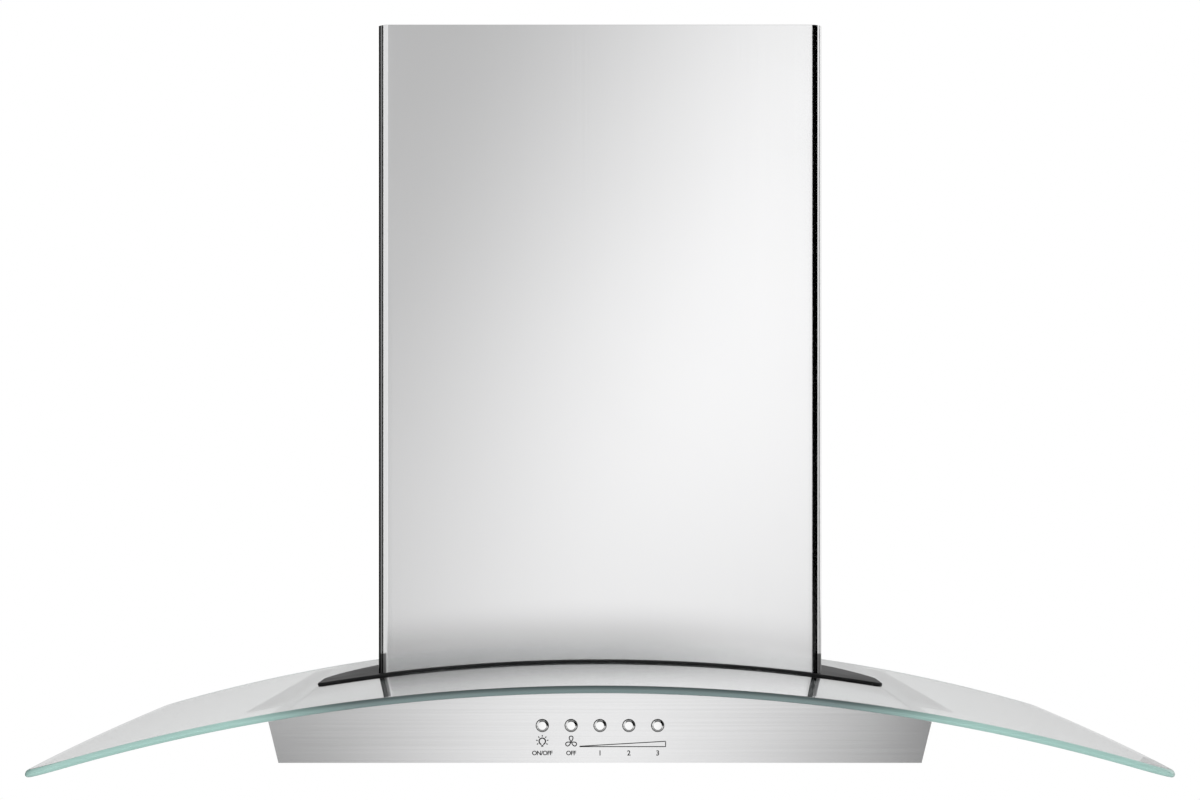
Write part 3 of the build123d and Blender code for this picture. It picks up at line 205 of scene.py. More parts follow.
def rounded_corner(before: Plan, corner: Plan, after: Plan, radius: float, steps: int) -> np.ndarray:
    """Gives the arc that rounds one corner of a plan path: a circle that touches both straights.

    Args:
        before: The path's point before the corner.
        corner: The corner.
        after: The path's point after the corner.
        radius: Radius of the arc.
        steps: Number of steps along the arc.

    Returns:
        Points of the arc in order.
    """
    tip = np.array(corner, dtype=float)
    back = np.array(before, dtype=float) - tip
    ahead = np.array(after, dtype=float) - tip
    back, ahead = back / np.linalg.norm(back), ahead / np.linalg.norm(ahead)
    half = math.acos(float(np.clip(back @ ahead, -1, 1))) / 2
    middle_way = (back + ahead) / np.linalg.norm(back + ahead)
    centre = tip + middle_way * radius / math.sin(half)
    first = tip + back * radius / math.tan(half) - centre
    last = tip + ahead * radius / math.tan(half) - centre
    share = np.linspace(0, 1, steps + 1)[:, None]
    turn = math.acos(float(np.clip(first @ last / radius**2, -1, 1)))
    blend = (np.sin((1 - share) * turn) * first + np.sin(share * turn) * last) / math.sin(turn)
    return centre + blend


def arc_through(start: Plan, middle: Plan, end: Plan) -> tuple[np.ndarray, float]:
    """Finds the circle through three points in plan.

    Args:
        start: First point.
        middle: Second point.
        end: Third point.

    Returns:
        The circle's centre and radius.
    """
    first, second, third = (np.array(point, dtype=float) for point in (start, middle, end))
    sides = 2 * np.array([second - first, third - first])
    reach = np.array([second @ second - first @ first, third @ third - first @ first])
    centre = np.linalg.solve(sides, reach)
    return centre, float(np.linalg.norm(first - centre))


@dataclass(frozen=True)
class Arch:
    """The bent line that the glass, the trim and the chimney's foot follow across the hood."""

    top: float = -0.2
    radius: float = 1.534

    def height(self, across: np.ndarray, offset: np.ndarray | float = 0.0) -> np.ndarray:
        """Gives the arch's height: a circle under the glass's top, larger by the offset.

        Args:
            across: Distance from the middle.
            offset: Distance above the glass's top face.

        Returns:
            Height of each point.
        """
        return self.top - self.radius + np.sqrt((self.radius + offset) ** 2 - across**2)


ARCH = Arch()


# Shader effects

class Effect(Enum):
    """The effects that several finishes share, each one node group."""

    BRUSHED = "brushed_grain"
    SMUDGE = "handling_smudges"
    SPECKLE = "moulded_speckle"
    SPANGLE = "zinc_spangle"


def ranged(tree: Tree, source: Socket, limits: Plan, values: Plan = (0.0, 1.0)) -> Socket:
    """Eases from one value to another while a source goes between two limits.

    Args:
        tree: Node tree.
        source: What is followed.
        limits: The source's two limits.
        values: The values at those limits.

    Returns:
        The eased value.
    """
    node = tree.nodes.new("ShaderNodeMapRange")
    node.interpolation_type = "SMOOTHSTEP"
    for name, value in zip(("From Min", "From Max", "To Min", "To Max"), (*limits, *values)):
        node.inputs[name].default_value = value
    tree.links.new(source, node.inputs["Value"])
    return node.outputs["Result"]


class EffectShelf:
    """Builds each shared effect once and keeps it."""

    made: ClassVar[dict[Effect, Tree]] = {}
    stretched: ClassVar[dict[str, str]] = {"Vector": "NodeSocketVector", "Stretch": "NodeSocketVector"}
    scaled: ClassVar[dict[str, str]] = {"Vector": "NodeSocketVector", "Scale": "NodeSocketFloat"}
    streaks: ClassVar[tuple[tuple[str, float, Plan], ...]] = (
        ("Streak", 1.0, (0.3, 0.7)),
        ("Scratch", 0.37, (0.62, 0.72)),
    )
    streak_detail: ClassVar[float] = 5.0
    streak_rough: ClassVar[float] = 0.62
    smudge_detail: ClassVar[float] = 4.0
    smudge_distortion: ClassVar[float] = 0.6
    smudge_limits: ClassVar[Plan] = (0.42, 0.72)
    speckle_detail: ClassVar[float] = 3.0
    pit_limits: ClassVar[Plan] = (0.1, 0.8)
    shade_limits: ClassVar[Plan] = (0.3, 0.7)

    @classmethod
    def get(cls, effect: Effect) -> Tree:
        """Gives an effect's node group.

        Args:
            effect: Which effect.

        Returns:
            The group, built at its first use.
        """
        if effect not in cls.made:
            builders = {
                Effect.BRUSHED: cls._brushed,
                Effect.SMUDGE: cls._smudge,
                Effect.SPECKLE: cls._speckle,
                Effect.SPANGLE: cls._spangle,
            }
            cls.made[effect] = builders[effect]()
        return cls.made[effect]

    @staticmethod
    def _tree(effect: Effect, inputs: dict[str, str], outputs: Sequence[str]) -> Tree:
        """Makes an empty group.

        Args:
            effect: Which effect.
            inputs: Socket type of each named input.
            outputs: Names of the value outputs.

        Returns:
            The group with its sockets and its two end nodes.
        """
        tree = bpy.data.node_groups.new(effect.value, "ShaderNodeTree")
        for name, kind in inputs.items():
            tree.interface.new_socket(name, in_out="INPUT", socket_type=kind)
        for name in outputs:
            tree.interface.new_socket(name, in_out="OUTPUT", socket_type="NodeSocketFloat")
        tree.nodes.new("NodeGroupInput").name = "in"
        tree.nodes.new("NodeGroupOutput").name = "out"
        return tree

    @classmethod
    def _brushed(cls) -> Tree:
        """Makes the brushed grain: noise stretched along one direction, and sparse longer scratches.

        Returns:
            The group.
        """
        tree = cls._tree(Effect.BRUSHED, cls.stretched, ["Streak", "Scratch"])
        ends = tree.nodes
        stretched = ends.new("ShaderNodeVectorMath")
        stretched.operation = "MULTIPLY"
        tree.links.new(ends["in"].outputs["Vector"], stretched.inputs[0])
        tree.links.new(ends["in"].outputs["Stretch"], stretched.inputs[1])
        for name, scale, limits in cls.streaks:
            noise = ends.new("ShaderNodeTexNoise")
            noise.inputs["Scale"].default_value = scale
            noise.inputs["Detail"].default_value = cls.streak_detail
            noise.inputs["Roughness"].default_value = cls.streak_rough
            tree.links.new(stretched.outputs["Vector"], noise.inputs["Vector"])
            tree.links.new(ranged(tree, noise.outputs["Fac"], limits), ends["out"].inputs[name])
        return tree

    @classmethod
    def _smudge(cls) -> Tree:
        """Makes handling smudges: soft patches where a distorted noise is high.

        Returns:
            The group.
        """
        tree = cls._tree(Effect.SMUDGE, cls.scaled, ["Smudge"])
        ends = tree.nodes
        noise = ends.new("ShaderNodeTexNoise")
        noise.inputs["Detail"].default_value = cls.smudge_detail
        noise.inputs["Distortion"].default_value = cls.smudge_distortion
        tree.links.new(ends["in"].outputs["Vector"], noise.inputs["Vector"])
        tree.links.new(ends["in"].outputs["Scale"], noise.inputs["Scale"])
        patches = ranged(tree, noise.outputs["Fac"], cls.smudge_limits)
        tree.links.new(patches, ends["out"].inputs["Smudge"])
        return tree

    @classmethod
    def _speckle(cls) -> Tree:
        """Makes the fine pitted texture of a moulded surface: cells for height, noise for shade.

        Returns:
            The group.
        """
        tree = cls._tree(Effect.SPECKLE, cls.scaled, ["Height", "Shade"])
        ends = tree.nodes
        cells = ends.new("ShaderNodeTexVoronoi")
        noise = ends.new("ShaderNodeTexNoise")
        noise.inputs["Detail"].default_value = cls.speckle_detail
        for node in (cells, noise):
            tree.links.new(ends["in"].outputs["Vector"], node.inputs["Vector"])
            tree.links.new(ends["in"].outputs["Scale"], node.inputs["Scale"])
        height = ranged(tree, cells.outputs["Distance"], cls.pit_limits)
        shade = ranged(tree, noise.outputs["Fac"], cls.shade_limits)
        tree.links.new(height, ends["out"].inputs["Height"])
        tree.links.new(shade, ends["out"].inputs["Shade"])
        return tree

    @classmethod
    def _spangle(cls) -> Tree:
        """Makes the crystals of hot-dipped zinc: one random shade for each Voronoi cell.

        Returns:
            The group.
        """
        tree = cls._tree(Effect.SPANGLE, cls.scaled, ["Shade"])
        ends = tree.nodes
        cells = ends.new("ShaderNodeTexVoronoi")
        tree.links.new(ends["in"].outputs["Vector"], cells.inputs["Vector"])
        tree.links.new(ends["in"].outputs["Scale"], cells.inputs["Scale"])
        parts = ends.new("ShaderNodeSeparateColor")
        tree.links.new(cells.outputs["Color"], parts.inputs["Color"])
        tree.links.new(parts.outputs["Red"], ends["out"].inputs["Shade"])
        return tree


class Bench:
    """A material's node tree, with short calls to add, fill and join its nodes."""

    def __init__(self, name: str) -> None:
        """Makes an empty material with one Principled shader.

        Args:
            name: Name of the material.
        """
        self.material = bpy.data.materials.new(name)
        self.material.use_nodes = True
        self.tree = self.material.node_tree
        self.shader = self.tree.nodes["Principled BSDF"]
        self.place = self.tree.nodes.new("ShaderNodeTexCoord").outputs["Object"]

    def join(self, source: Socket, target: Socket) -> None:
        """Links one socket to another."""
        self.tree.links.new(source, target)

    def plain(self, **values: float | Sequence[float]) -> None:
        """Sets constants on the shader's own sockets, named with underscores.

        Args:
            **values: Value of each socket.
        """
        for name, value in values.items():
            socket = self.shader.inputs[name.replace("_", " ")]
            socket.default_value = (*value, 1.0) if isinstance(value, tuple) and len(value) == 3 else value

    def effect(self, effect: Effect, **values: float | Sequence[float]) -> bpy.types.Node:
        """Places a shared effect with its own values.

        Args:
            effect: Which effect.
            **values: Value of each named input.

        Returns:
            The group node.
        """
        node = self.tree.nodes.new("ShaderNodeGroup")
        node.node_tree = EffectShelf.get(effect)
        self.join(self.place, node.inputs["Vector"])
        for name, value in values.items():
            node.inputs[name].default_value = value
        return node

    def shade(self, mask: Socket, low: Rgb, high: Rgb) -> None:
        """Colours the surface between two colours by a mask.

        Args:
            mask: What chooses between them.
            low: Colour where the mask is 0.
            high: Colour where it is 1.
        """
        mix = self.tree.nodes.new("ShaderNodeMix")
        mix.data_type = "RGBA"
        mix.inputs["A"].default_value = (*low, 1.0)
        mix.inputs["B"].default_value = (*high, 1.0)
        self.join(mask, mix.inputs["Factor"])
        self.join(mix.outputs["Result"], self.shader.inputs["Base Color"])

    def axes(self) -> dict[str, Socket]:
        """Gives the surface's X, Y and Z.

        Returns:
            One socket for each axis.
        """
        parts = self.tree.nodes.new("ShaderNodeSeparateXYZ")
        self.join(self.place, parts.inputs["Vector"])
        return {axis: parts.outputs[axis] for axis in "XYZ"}

    def dim(self, share: Socket) -> None:
        """Multiplies the surface's colour by a share that varies.

        Args:
            share: What the colour is multiplied by.
        """
        target = self.shader.inputs["Base Color"]
        scaled = self.tree.nodes.new("ShaderNodeVectorMath")
        scaled.operation = "SCALE"
        self.join(target.links[0].from_socket, scaled.inputs[0])
        self.join(share, scaled.inputs["Scale"])
        self.join(scaled.outputs["Vector"], target)

    def between(self, mask: Socket, low: float, high: float, target: str) -> None:
        """Moves one of the shader's values between two limits by a mask.

        Args:
            mask: What is followed, from 0 to 1.
            low: Value at 0.
            high: Value at 1.
            target: Name of the value.
        """
        node = self.tree.nodes.new("ShaderNodeMapRange")
        node.inputs["To Min"].default_value = low
        node.inputs["To Max"].default_value = high
        self.join(mask, node.inputs["Value"])
        self.join(node.outputs["Result"], self.shader.inputs[target])

    def math(self, operation: str, *values: Socket | float) -> Socket:
        """Works out one value from others.

        Args:
            operation: Name of the sum, as the Math node has it.
            *values: Its inputs in order, sockets or numbers.

        Returns:
            The result.
        """
        node = self.tree.nodes.new("ShaderNodeMath")
        node.operation = operation
        for value, socket in zip(values, node.inputs):
            if isinstance(value, Socket):
                self.join(value, socket)
            else:
                socket.default_value = value
        return node.outputs["Value"]

    def eased(self, source: Socket, start: float, end: float, low: float, high: float) -> Socket:
        """Eases from one value to another while a source goes between two limits."""
        return ranged(self.tree, source, (start, end), (low, high))

    def arch_height(self, place: dict[str, Socket]) -> Socket:
        """Gives the height above the arch's top line: Z plus X squared over twice the radius."""
        square = self.math("MULTIPLY", place["X"], place["X"])
        return self.math("MULTIPLY_ADD", square, 0.5 / ARCH.radius, place["Z"])

    def bump(self, height: Socket, strength: float, distance: float) -> None:
        """Raises the surface by a height.

        Args:
            height: What raises it.
            strength: Strength of the relief.
            distance: Depth of the relief in metres.
        """
        node = self.tree.nodes.new("ShaderNodeBump")
        node.inputs["Strength"].default_value = strength
        node.inputs["Distance"].default_value = distance
        self.join(height, node.inputs["Height"])
        self.join(node.outputs["Normal"], self.shader.inputs["Normal"])


# Finishes

class Grain(Enum):
    """The way a brushed finish runs, as the stretch of its noise for each axis."""

    ACROSS = (3.0, 900.0, 900.0)
    UPRIGHT = (900.0, 900.0, 0.6)
    DEEP = (900.0, 3.0, 900.0)


@dataclass(frozen=True)
class Finish:
    """A finish of the hood: a name, a colour and how rough it is."""

    made: ClassVar[dict[str, Material]] = {}
    name: str
    colour: Rgb
    roughness: float

    def material(self) -> Material:
        """Gives the finish's material, built at its first use.

        Returns:
            The material.
        """
        if self.name not in Finish.made:
            bench = Bench(self.name)
            self.paint(bench)
            Finish.made[self.name] = bench.material
        return Finish.made[self.name]

    def paint(self, bench: Bench) -> None:
        """Fills in the material's nodes."""
        raise NotImplementedError

    def darker(self, share: float) -> Rgb:
        """Gives the finish's colour times a share."""
        return tuple(value * share for value in self.colour)


@dataclass(frozen=True)
class BrushedMetal(Finish):
    """Brushed metal: fine streaks along one direction, faint smudges and sparse scratches."""

    grain: Grain = Grain.UPRIGHT
    contrast: float = 0.05
    relief: float = 0.05
    smudge_scale: float = 7.0
    smudge_dull: float = 1.12
    scratch_depth: float = 0.00002

    def paint(self, bench: Bench) -> None:
        """Streaks tint the colour and lift the surface a little, and smudges change the roughness.

        Args:
            bench: The material's bench.
        """
        streak = bench.effect(Effect.BRUSHED, Stretch=self.grain.value)
        smudge = bench.effect(Effect.SMUDGE, Scale=self.smudge_scale)
        bench.plain(Metallic=1.0, Specular_IOR_Level=0.5)
        bench.shade(streak.outputs["Streak"], self.darker(1 - self.contrast), self.colour)
        duller = self.roughness * self.smudge_dull
        bench.between(smudge.outputs["Smudge"], self.roughness, duller, "Roughness")
        if self.relief:
            bench.bump(streak.outputs["Scratch"], self.relief, self.scratch_depth)


@dataclass(frozen=True)
class FootShadedSteel(BrushedMetal):
    """Brushed steel with a painted reflection of the black moulding: it darkens over the last stretch above
    the bent glass, towards the moulding, and a painted shadow darkens the corners' foot.
    """

    reach: float = 0.022
    foot: float = 0.62
    right_end: float = 0.18
    right_share: float = 0.45
    fold: float = 0.1885
    fold_reach: float = 0.0185
    fold_painted_shade: float = 0.8
    fold_blend: float = 0.002

    def paint(self, bench: Bench) -> None:
        """Brushes the steel, then paints shade into its colour by its height above the arch, less to the
        right, more at the folds.

        Args:
            bench: The material's bench.
        """
        super().paint(bench)
        place = bench.axes()
        height = bench.arch_height(place)
        # Painted reflection: the colour dims near the foot as if it mirrored the black moulding
        shade = bench.eased(height, ARCH.top, ARCH.top + self.reach, self.foot - 1.0, 0.0)
        share = bench.eased(place["X"], 0.0, self.right_end, 1.0, self.right_share)
        bench.dim(bench.math("MULTIPLY_ADD", shade, share, 1.0))
        # Painted shadow: the folds at the corners are darker still at their foot
        aside = bench.math("ABSOLUTE", place["X"])
        folded = bench.eased(aside, self.fold, self.fold + self.fold_blend, 0.0, -self.fold_painted_shade)
        top = ARCH.top + self.fold_reach
        low = bench.eased(height, top, top + self.fold_blend, 1.0, 0.0)
        bench.dim(bench.math("MULTIPLY_ADD", folded, low, 1.0))


@dataclass(frozen=True)
class RoofSteel(BrushedMetal):
    """Brushed steel of the body, whose roof has painted shade behind a soft line that bends towards the
    chimney, for its dimmer reflection there.
    """

    line: float = -0.105
    blend: float = 0.03
    roof_painted_shade: float = 0.1

    def paint(self, bench: Bench) -> None:
        """Brushes the steel, then paints shade by dimming it where Y plus the distance from the middle passes
        the line.

        Args:
            bench: The material's bench.
        """
        super().paint(bench)
        place = bench.axes()
        past = bench.math("ADD", place["Y"], bench.math("ABSOLUTE", place["X"]))
        # Painted shade: the roof's colour darkens behind the line
        bench.dim(bench.eased(past, self.line - self.blend, self.line + self.blend, 1.0, self.roof_painted_shade))


@dataclass(frozen=True)
class ClearGlass(Finish):
    """The clear face of the canopy: transmission with the faintest smudges."""

    ior: float = 1.5
    smudge_scale: float = 5.0
    smudge_shade: float = 0.985
    smudge_rough: float = 0.006

    def paint(self, bench: Bench) -> None:
        """Smudges change the colour and roughness a trace; the rest is plain.

        Args:
            bench: The material's bench.
        """
        smudge = bench.effect(Effect.SMUDGE, Scale=self.smudge_scale)
        bench.plain(Metallic=0.0, Transmission_Weight=1.0, IOR=self.ior)
        bench.shade(smudge.outputs["Smudge"], self.colour, self.darker(self.smudge_shade))
        duller = self.roughness + self.smudge_rough
        bench.between(smudge.outputs["Smudge"], self.roughness, duller, "Roughness")


@dataclass(frozen=True)
class GlassEdge(Finish):
    """The polished edge of the glass, where its own green shows, with painted shade over the body and along
    the top face and painted light towards the bottom face.
    """

    shaded_over_body: Rgb
    transmission: float = 0.15
    body_end: float = 0.18
    wing_start: float = 0.3
    thickness: float = 0.006
    over_wing: float = 0.25
    painted_top_shade: float = -0.65
    painted_low_light: float = 0.5
    ior: float = 1.5
    grinding: Point = (8.0, 8.0, 1400.0)
    line_shade: float = 0.92
    line_rough: float = 1.5

    def paint(self, bench: Bench) -> None:
        """Fine grinding lines tint a green that painted shade turns grey over the body, with painted shade
        along the top face and painted light towards the bottom face.

        Args:
            bench: The material's bench.
        """
        lines = bench.effect(Effect.BRUSHED, Stretch=self.grinding)
        bench.plain(Metallic=0.0, Transmission_Weight=self.transmission, IOR=self.ior)
        place = bench.axes()
        aside = bench.math("ABSOLUTE", place["X"])
        # Painted shade: the colour is greyer where the body lies under the glass
        bench.shade(bench.eased(aside, self.body_end, self.wing_start, 0.0, 1.0), self.shaded_over_body, self.colour)
        # Painted shade along the top face and painted light towards the bottom face, strongest over the body
        square = bench.math("MULTIPLY", place["X"], place["X"])
        rise = bench.math("SQRT", bench.math("SUBTRACT", ARCH.radius**2, square))
        drop = bench.math("SUBTRACT", bench.math("ADD", rise, ARCH.top - ARCH.radius), place["Z"])
        slope = bench.eased(drop, 0.0, self.thickness, self.painted_top_shade, self.painted_low_light)
        amount = bench.eased(aside, self.body_end, self.wing_start, 1.0, self.over_wing)
        bench.dim(bench.math("MULTIPLY_ADD", slope, amount, 1.0))
        bench.dim(bench.eased(lines.outputs["Streak"], 0.0, 1.0, self.line_shade, 1.0))
        bench.between(lines.outputs["Streak"], self.roughness, self.roughness * self.line_rough, "Roughness")


@dataclass(frozen=True)
class Moulded(Finish):
    """A moulded plastic or rubber with a fine pitted texture."""

    scale: float = 900.0
    relief: float = 0.15
    variation: float = 0.25
    coat: float = 0.0
    shine: float = 0.5
    coat_rough: float = 0.12
    smudge_scale: float = 12.0
    smudge_dull: float = 1.2
    pit_depth: float = 0.00005

    def paint(self, bench: Bench) -> None:
        """Pits give the relief, and their shade and roughness vary with soft patches.

        Args:
            bench: The material's bench.
        """
        speckle = bench.effect(Effect.SPECKLE, Scale=self.scale)
        smudge = bench.effect(Effect.SMUDGE, Scale=self.smudge_scale)
        bench.plain(Metallic=0.0, Specular_IOR_Level=self.shine)
        bench.plain(Coat_Weight=self.coat, Coat_Roughness=self.coat_rough)
        bench.shade(speckle.outputs["Shade"], self.darker(1 - self.variation), self.colour)
        duller = min(1.0, self.roughness * self.smudge_dull)
        bench.between(smudge.outputs["Smudge"], self.roughness, duller, "Roughness")
        bench.bump(speckle.outputs["Height"], self.relief, self.pit_depth)


@dataclass(frozen=True)
class Galvanised(Finish):
    """Hot-dipped zinc on sheet steel, with its crystals."""

    scale: float = 70.0
    dark_crystal: float = 0.8
    rough_crystal: float = 1.25

    def paint(self, bench: Bench) -> None:
        """Each crystal has a shade and a roughness of its own.

        Args:
            bench: The material's bench.
        """
        spangle = bench.effect(Effect.SPANGLE, Scale=self.scale)
        bench.plain(Metallic=1.0)
        bench.shade(spangle.outputs["Shade"], self.darker(self.dark_crystal), self.colour)
        smooth, rough = self.roughness * self.dark_crystal, self.roughness * self.rough_crystal
        bench.between(spangle.outputs["Shade"], smooth, rough, "Roughness")


@dataclass(frozen=True)
class PlatedMetal(Finish):
    """Smooth plated or turned metal with faint tool marks and smudges."""

    scale: float = 400.0
    variation: float = 0.12
    relief: float = 0.03
    smudge_scale: float = 60.0
    smudge_dull: float = 1.3
    mark_depth: float = 0.00002

    def paint(self, bench: Bench) -> None:
        """A fine shade on the colour, smudges on the roughness and a trace of relief.

        Args:
            bench: The material's bench.
        """
        speckle = bench.effect(Effect.SPECKLE, Scale=self.scale)
        smudge = bench.effect(Effect.SMUDGE, Scale=self.smudge_scale)
        bench.plain(Metallic=1.0)
        bench.shade(speckle.outputs["Shade"], self.darker(1 - self.variation), self.colour)
        duller = self.roughness * self.smudge_dull
        bench.between(smudge.outputs["Smudge"], self.roughness, duller, "Roughness")
        bench.bump(speckle.outputs["Height"], self.relief, self.mark_depth)


@dataclass(frozen=True)
class Layered(Finish):
    """A stack or winding whose layers show as fine lines along one axis."""

    second: Rgb = (0.1, 0.1, 0.1)
    metallic: float = 1.0
    stretch: Point = (2200.0, 25.0, 25.0)
    gap_dull: float = 1.2
    relief: float = 0.4
    gap_depth: float = 0.0002

    def paint(self, bench: Bench) -> None:
        """Lines alternate between two colours and lift the surface.

        Args:
            bench: The material's bench.
        """
        lines = bench.effect(Effect.BRUSHED, Stretch=self.stretch)
        bench.plain(Metallic=self.metallic)
        bench.shade(lines.outputs["Streak"], self.second, self.colour)
        bench.between(lines.outputs["Streak"], self.roughness * self.gap_dull, self.roughness, "Roughness")
        bench.bump(lines.outputs["Streak"], self.relief, self.gap_depth)


@dataclass(frozen=True)
class FrostedLens(Finish):
    """The frosted glass of a lamp: white, a little translucent, with a fine prism pattern."""

    scale: float = 420.0
    transmission: float = 0.25
    ior: float = 1.49
    coat: float = 0.5
    coat_rough: float = 0.08
    prism_shade: float = 0.9
    prism_dull: float = 1.2
    relief: float = 0.3
    prism_depth: float = 0.0003

    def paint(self, bench: Bench) -> None:
        """Small cells give the prisms' relief and shade.

        Args:
            bench: The material's bench.
        """
        speckle = bench.effect(Effect.SPECKLE, Scale=self.scale)
        bench.plain(Metallic=0.0, Transmission_Weight=self.transmission, IOR=self.ior)
        bench.plain(Coat_Weight=self.coat, Coat_Roughness=self.coat_rough)
        bench.shade(speckle.outputs["Height"], self.darker(self.prism_shade), self.colour)
        bench.between(speckle.outputs["Shade"], self.roughness, self.roughness * self.prism_dull, "Roughness")
        bench.bump(speckle.outputs["Height"], self.relief, self.prism_depth)


CLEAR = ClearGlass("clear_glass", (0.93, 0.955, 0.955), 0.0)
EDGE = GlassEdge("glass_edge_green", (0.52, 0.8, 0.735), 0.06, shaded_over_body=(0.225, 0.3, 0.3))
CHIMNEY_STEEL = FootShadedSteel(
    "chimney_steel", (0.97, 0.97, 0.975), 0.11, Grain.UPRIGHT, contrast=0.02, relief=0.0,
)
FASCIA_STEEL = BrushedMetal(
    "fascia_steel", (0.93, 0.93, 0.935), 0.15, Grain.ACROSS, contrast=0.06, relief=0.06,
)
BODY_STEEL = BrushedMetal("body_steel", (0.9, 0.9, 0.905), 0.5, Grain.ACROSS, contrast=0.08, relief=0.08)
ROOF_STEEL = RoofSteel("roofed_steel", (0.9, 0.9, 0.905), 0.5, Grain.ACROSS, contrast=0.08, relief=0.08)
PANEL_STEEL = BrushedMetal("panel_steel", (0.74, 0.74, 0.75), 0.28, Grain.DEEP, contrast=0.08, relief=0.08)
BUTTON_STEEL = PlatedMetal(
    "button_steel", (0.985, 0.985, 0.985), 0.05, scale=900.0, variation=0.02, relief=0.0,
)
TRIM_BLACK = Moulded(
    "trim_black", (0.007, 0.0075, 0.008), 0.5, scale=1200.0, relief=0.04, variation=0.3, shine=0.35,
)
INK = Moulded("printed_ink", (0.008, 0.008, 0.009), 0.6, scale=2500.0, relief=0.03, variation=0.3)

SLOT_FINISH: dict[str, Finish] = {
    "glass": CLEAR,
    "polished_steel": CHIMNEY_STEEL,
    "body_steel": BODY_STEEL,
    "galvanised": Galvanised("galvanised_sheet", (0.6, 0.615, 0.63), 0.42),
    "zinc": PlatedMetal("bright_zinc", (0.7, 0.7, 0.7), 0.25),
    "black_moulding": Moulded("black_moulding", (0.018, 0.019, 0.02), 0.42, scale=700.0, relief=0.2),
    "rubber": Moulded("soft_rubber", (0.022, 0.022, 0.023), 0.75, scale=500.0, relief=0.25),
    "filter_aluminium": BrushedMetal(
        "filter_aluminium", (0.78, 0.79, 0.8), 0.3, Grain.DEEP, contrast=0.12, relief=0.1,
    ),
    "button_steel": BUTTON_STEEL,
    "latch_plastic": Moulded("latch_plastic", (0.045, 0.046, 0.05), 0.4, scale=800.0, relief=0.15),
    "fan_plastic": Moulded("fan_plastic", (0.05, 0.052, 0.056), 0.45, scale=600.0, relief=0.15),
    "motor_enamel": Moulded(
        "motor_enamel", (0.03, 0.031, 0.033), 0.35, scale=180.0, relief=0.1, variation=0.2, coat=0.3,
    ),
    "core_iron": Layered("core_iron", (0.34, 0.34, 0.35), 0.4, second=(0.16, 0.16, 0.17)),
    "copper": Layered(
        "copper_winding", (0.72, 0.3, 0.14), 0.3, second=(0.42, 0.15, 0.06), stretch=(900.0, 900.0, 900.0),
    ),
    "capacitor_plastic": Moulded(
        "capacitor_plastic", (0.66, 0.66, 0.63), 0.4, scale=400.0, relief=0.05, variation=0.06,
    ),
    "board": Layered(
        "board_green", (0.03, 0.16, 0.07), 0.35,
        second=(0.02, 0.1, 0.045), metallic=0.0, stretch=(260.0, 260.0, 30.0),
    ),
    "lamp_bezel": PlatedMetal("lamp_bezel", (0.8, 0.8, 0.8), 0.3, scale=500.0, variation=0.06),
    "lamp_glass": FrostedLens("lamp_glass", (0.82, 0.83, 0.83), 0.45),
}
NODE_FINISH: dict[str, Finish] = {
    "front_fascia": FASCIA_STEEL,
    "bottom_panel": PANEL_STEEL,
    "chimney_trim": TRIM_BLACK,
    "hood_body": ROOF_STEEL,
    "glass_seal": Moulded(
        "clear_seal", (0.62, 0.63, 0.63), 0.5, scale=500.0, relief=0.1, variation=0.08,
    ),
}


# Sub-assemblies

@dataclass
class SubAssembly:
    """A group of pieces of the hood that ride on named bodies."""

    def build(self) -> None:
        """Makes the group's meshes."""
        raise NotImplementedError

    def place(
        self, piece: bpy.types.Object, finishes: Sequence[Finish], body: str, slot: str, *nodes: str,
    ) -> None:
        """Dresses a piece, lets it ride on a body and hides the CAD nodes that it stands for.

        Args:
            piece: The new piece.
            finishes: One finish for each of its material slots.
            body: Body that it rides on.
            slot: The record's material slot; not used.
            *nodes: CAD nodes that it replaces.
        """
        for finish in finishes:
            piece.data.materials.append(finish.material())
        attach(piece, body)
        if nodes:
            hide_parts(*nodes)
        LOG.info("%s: %d faces, rides on %s", piece.name, len(piece.data.polygons), body)


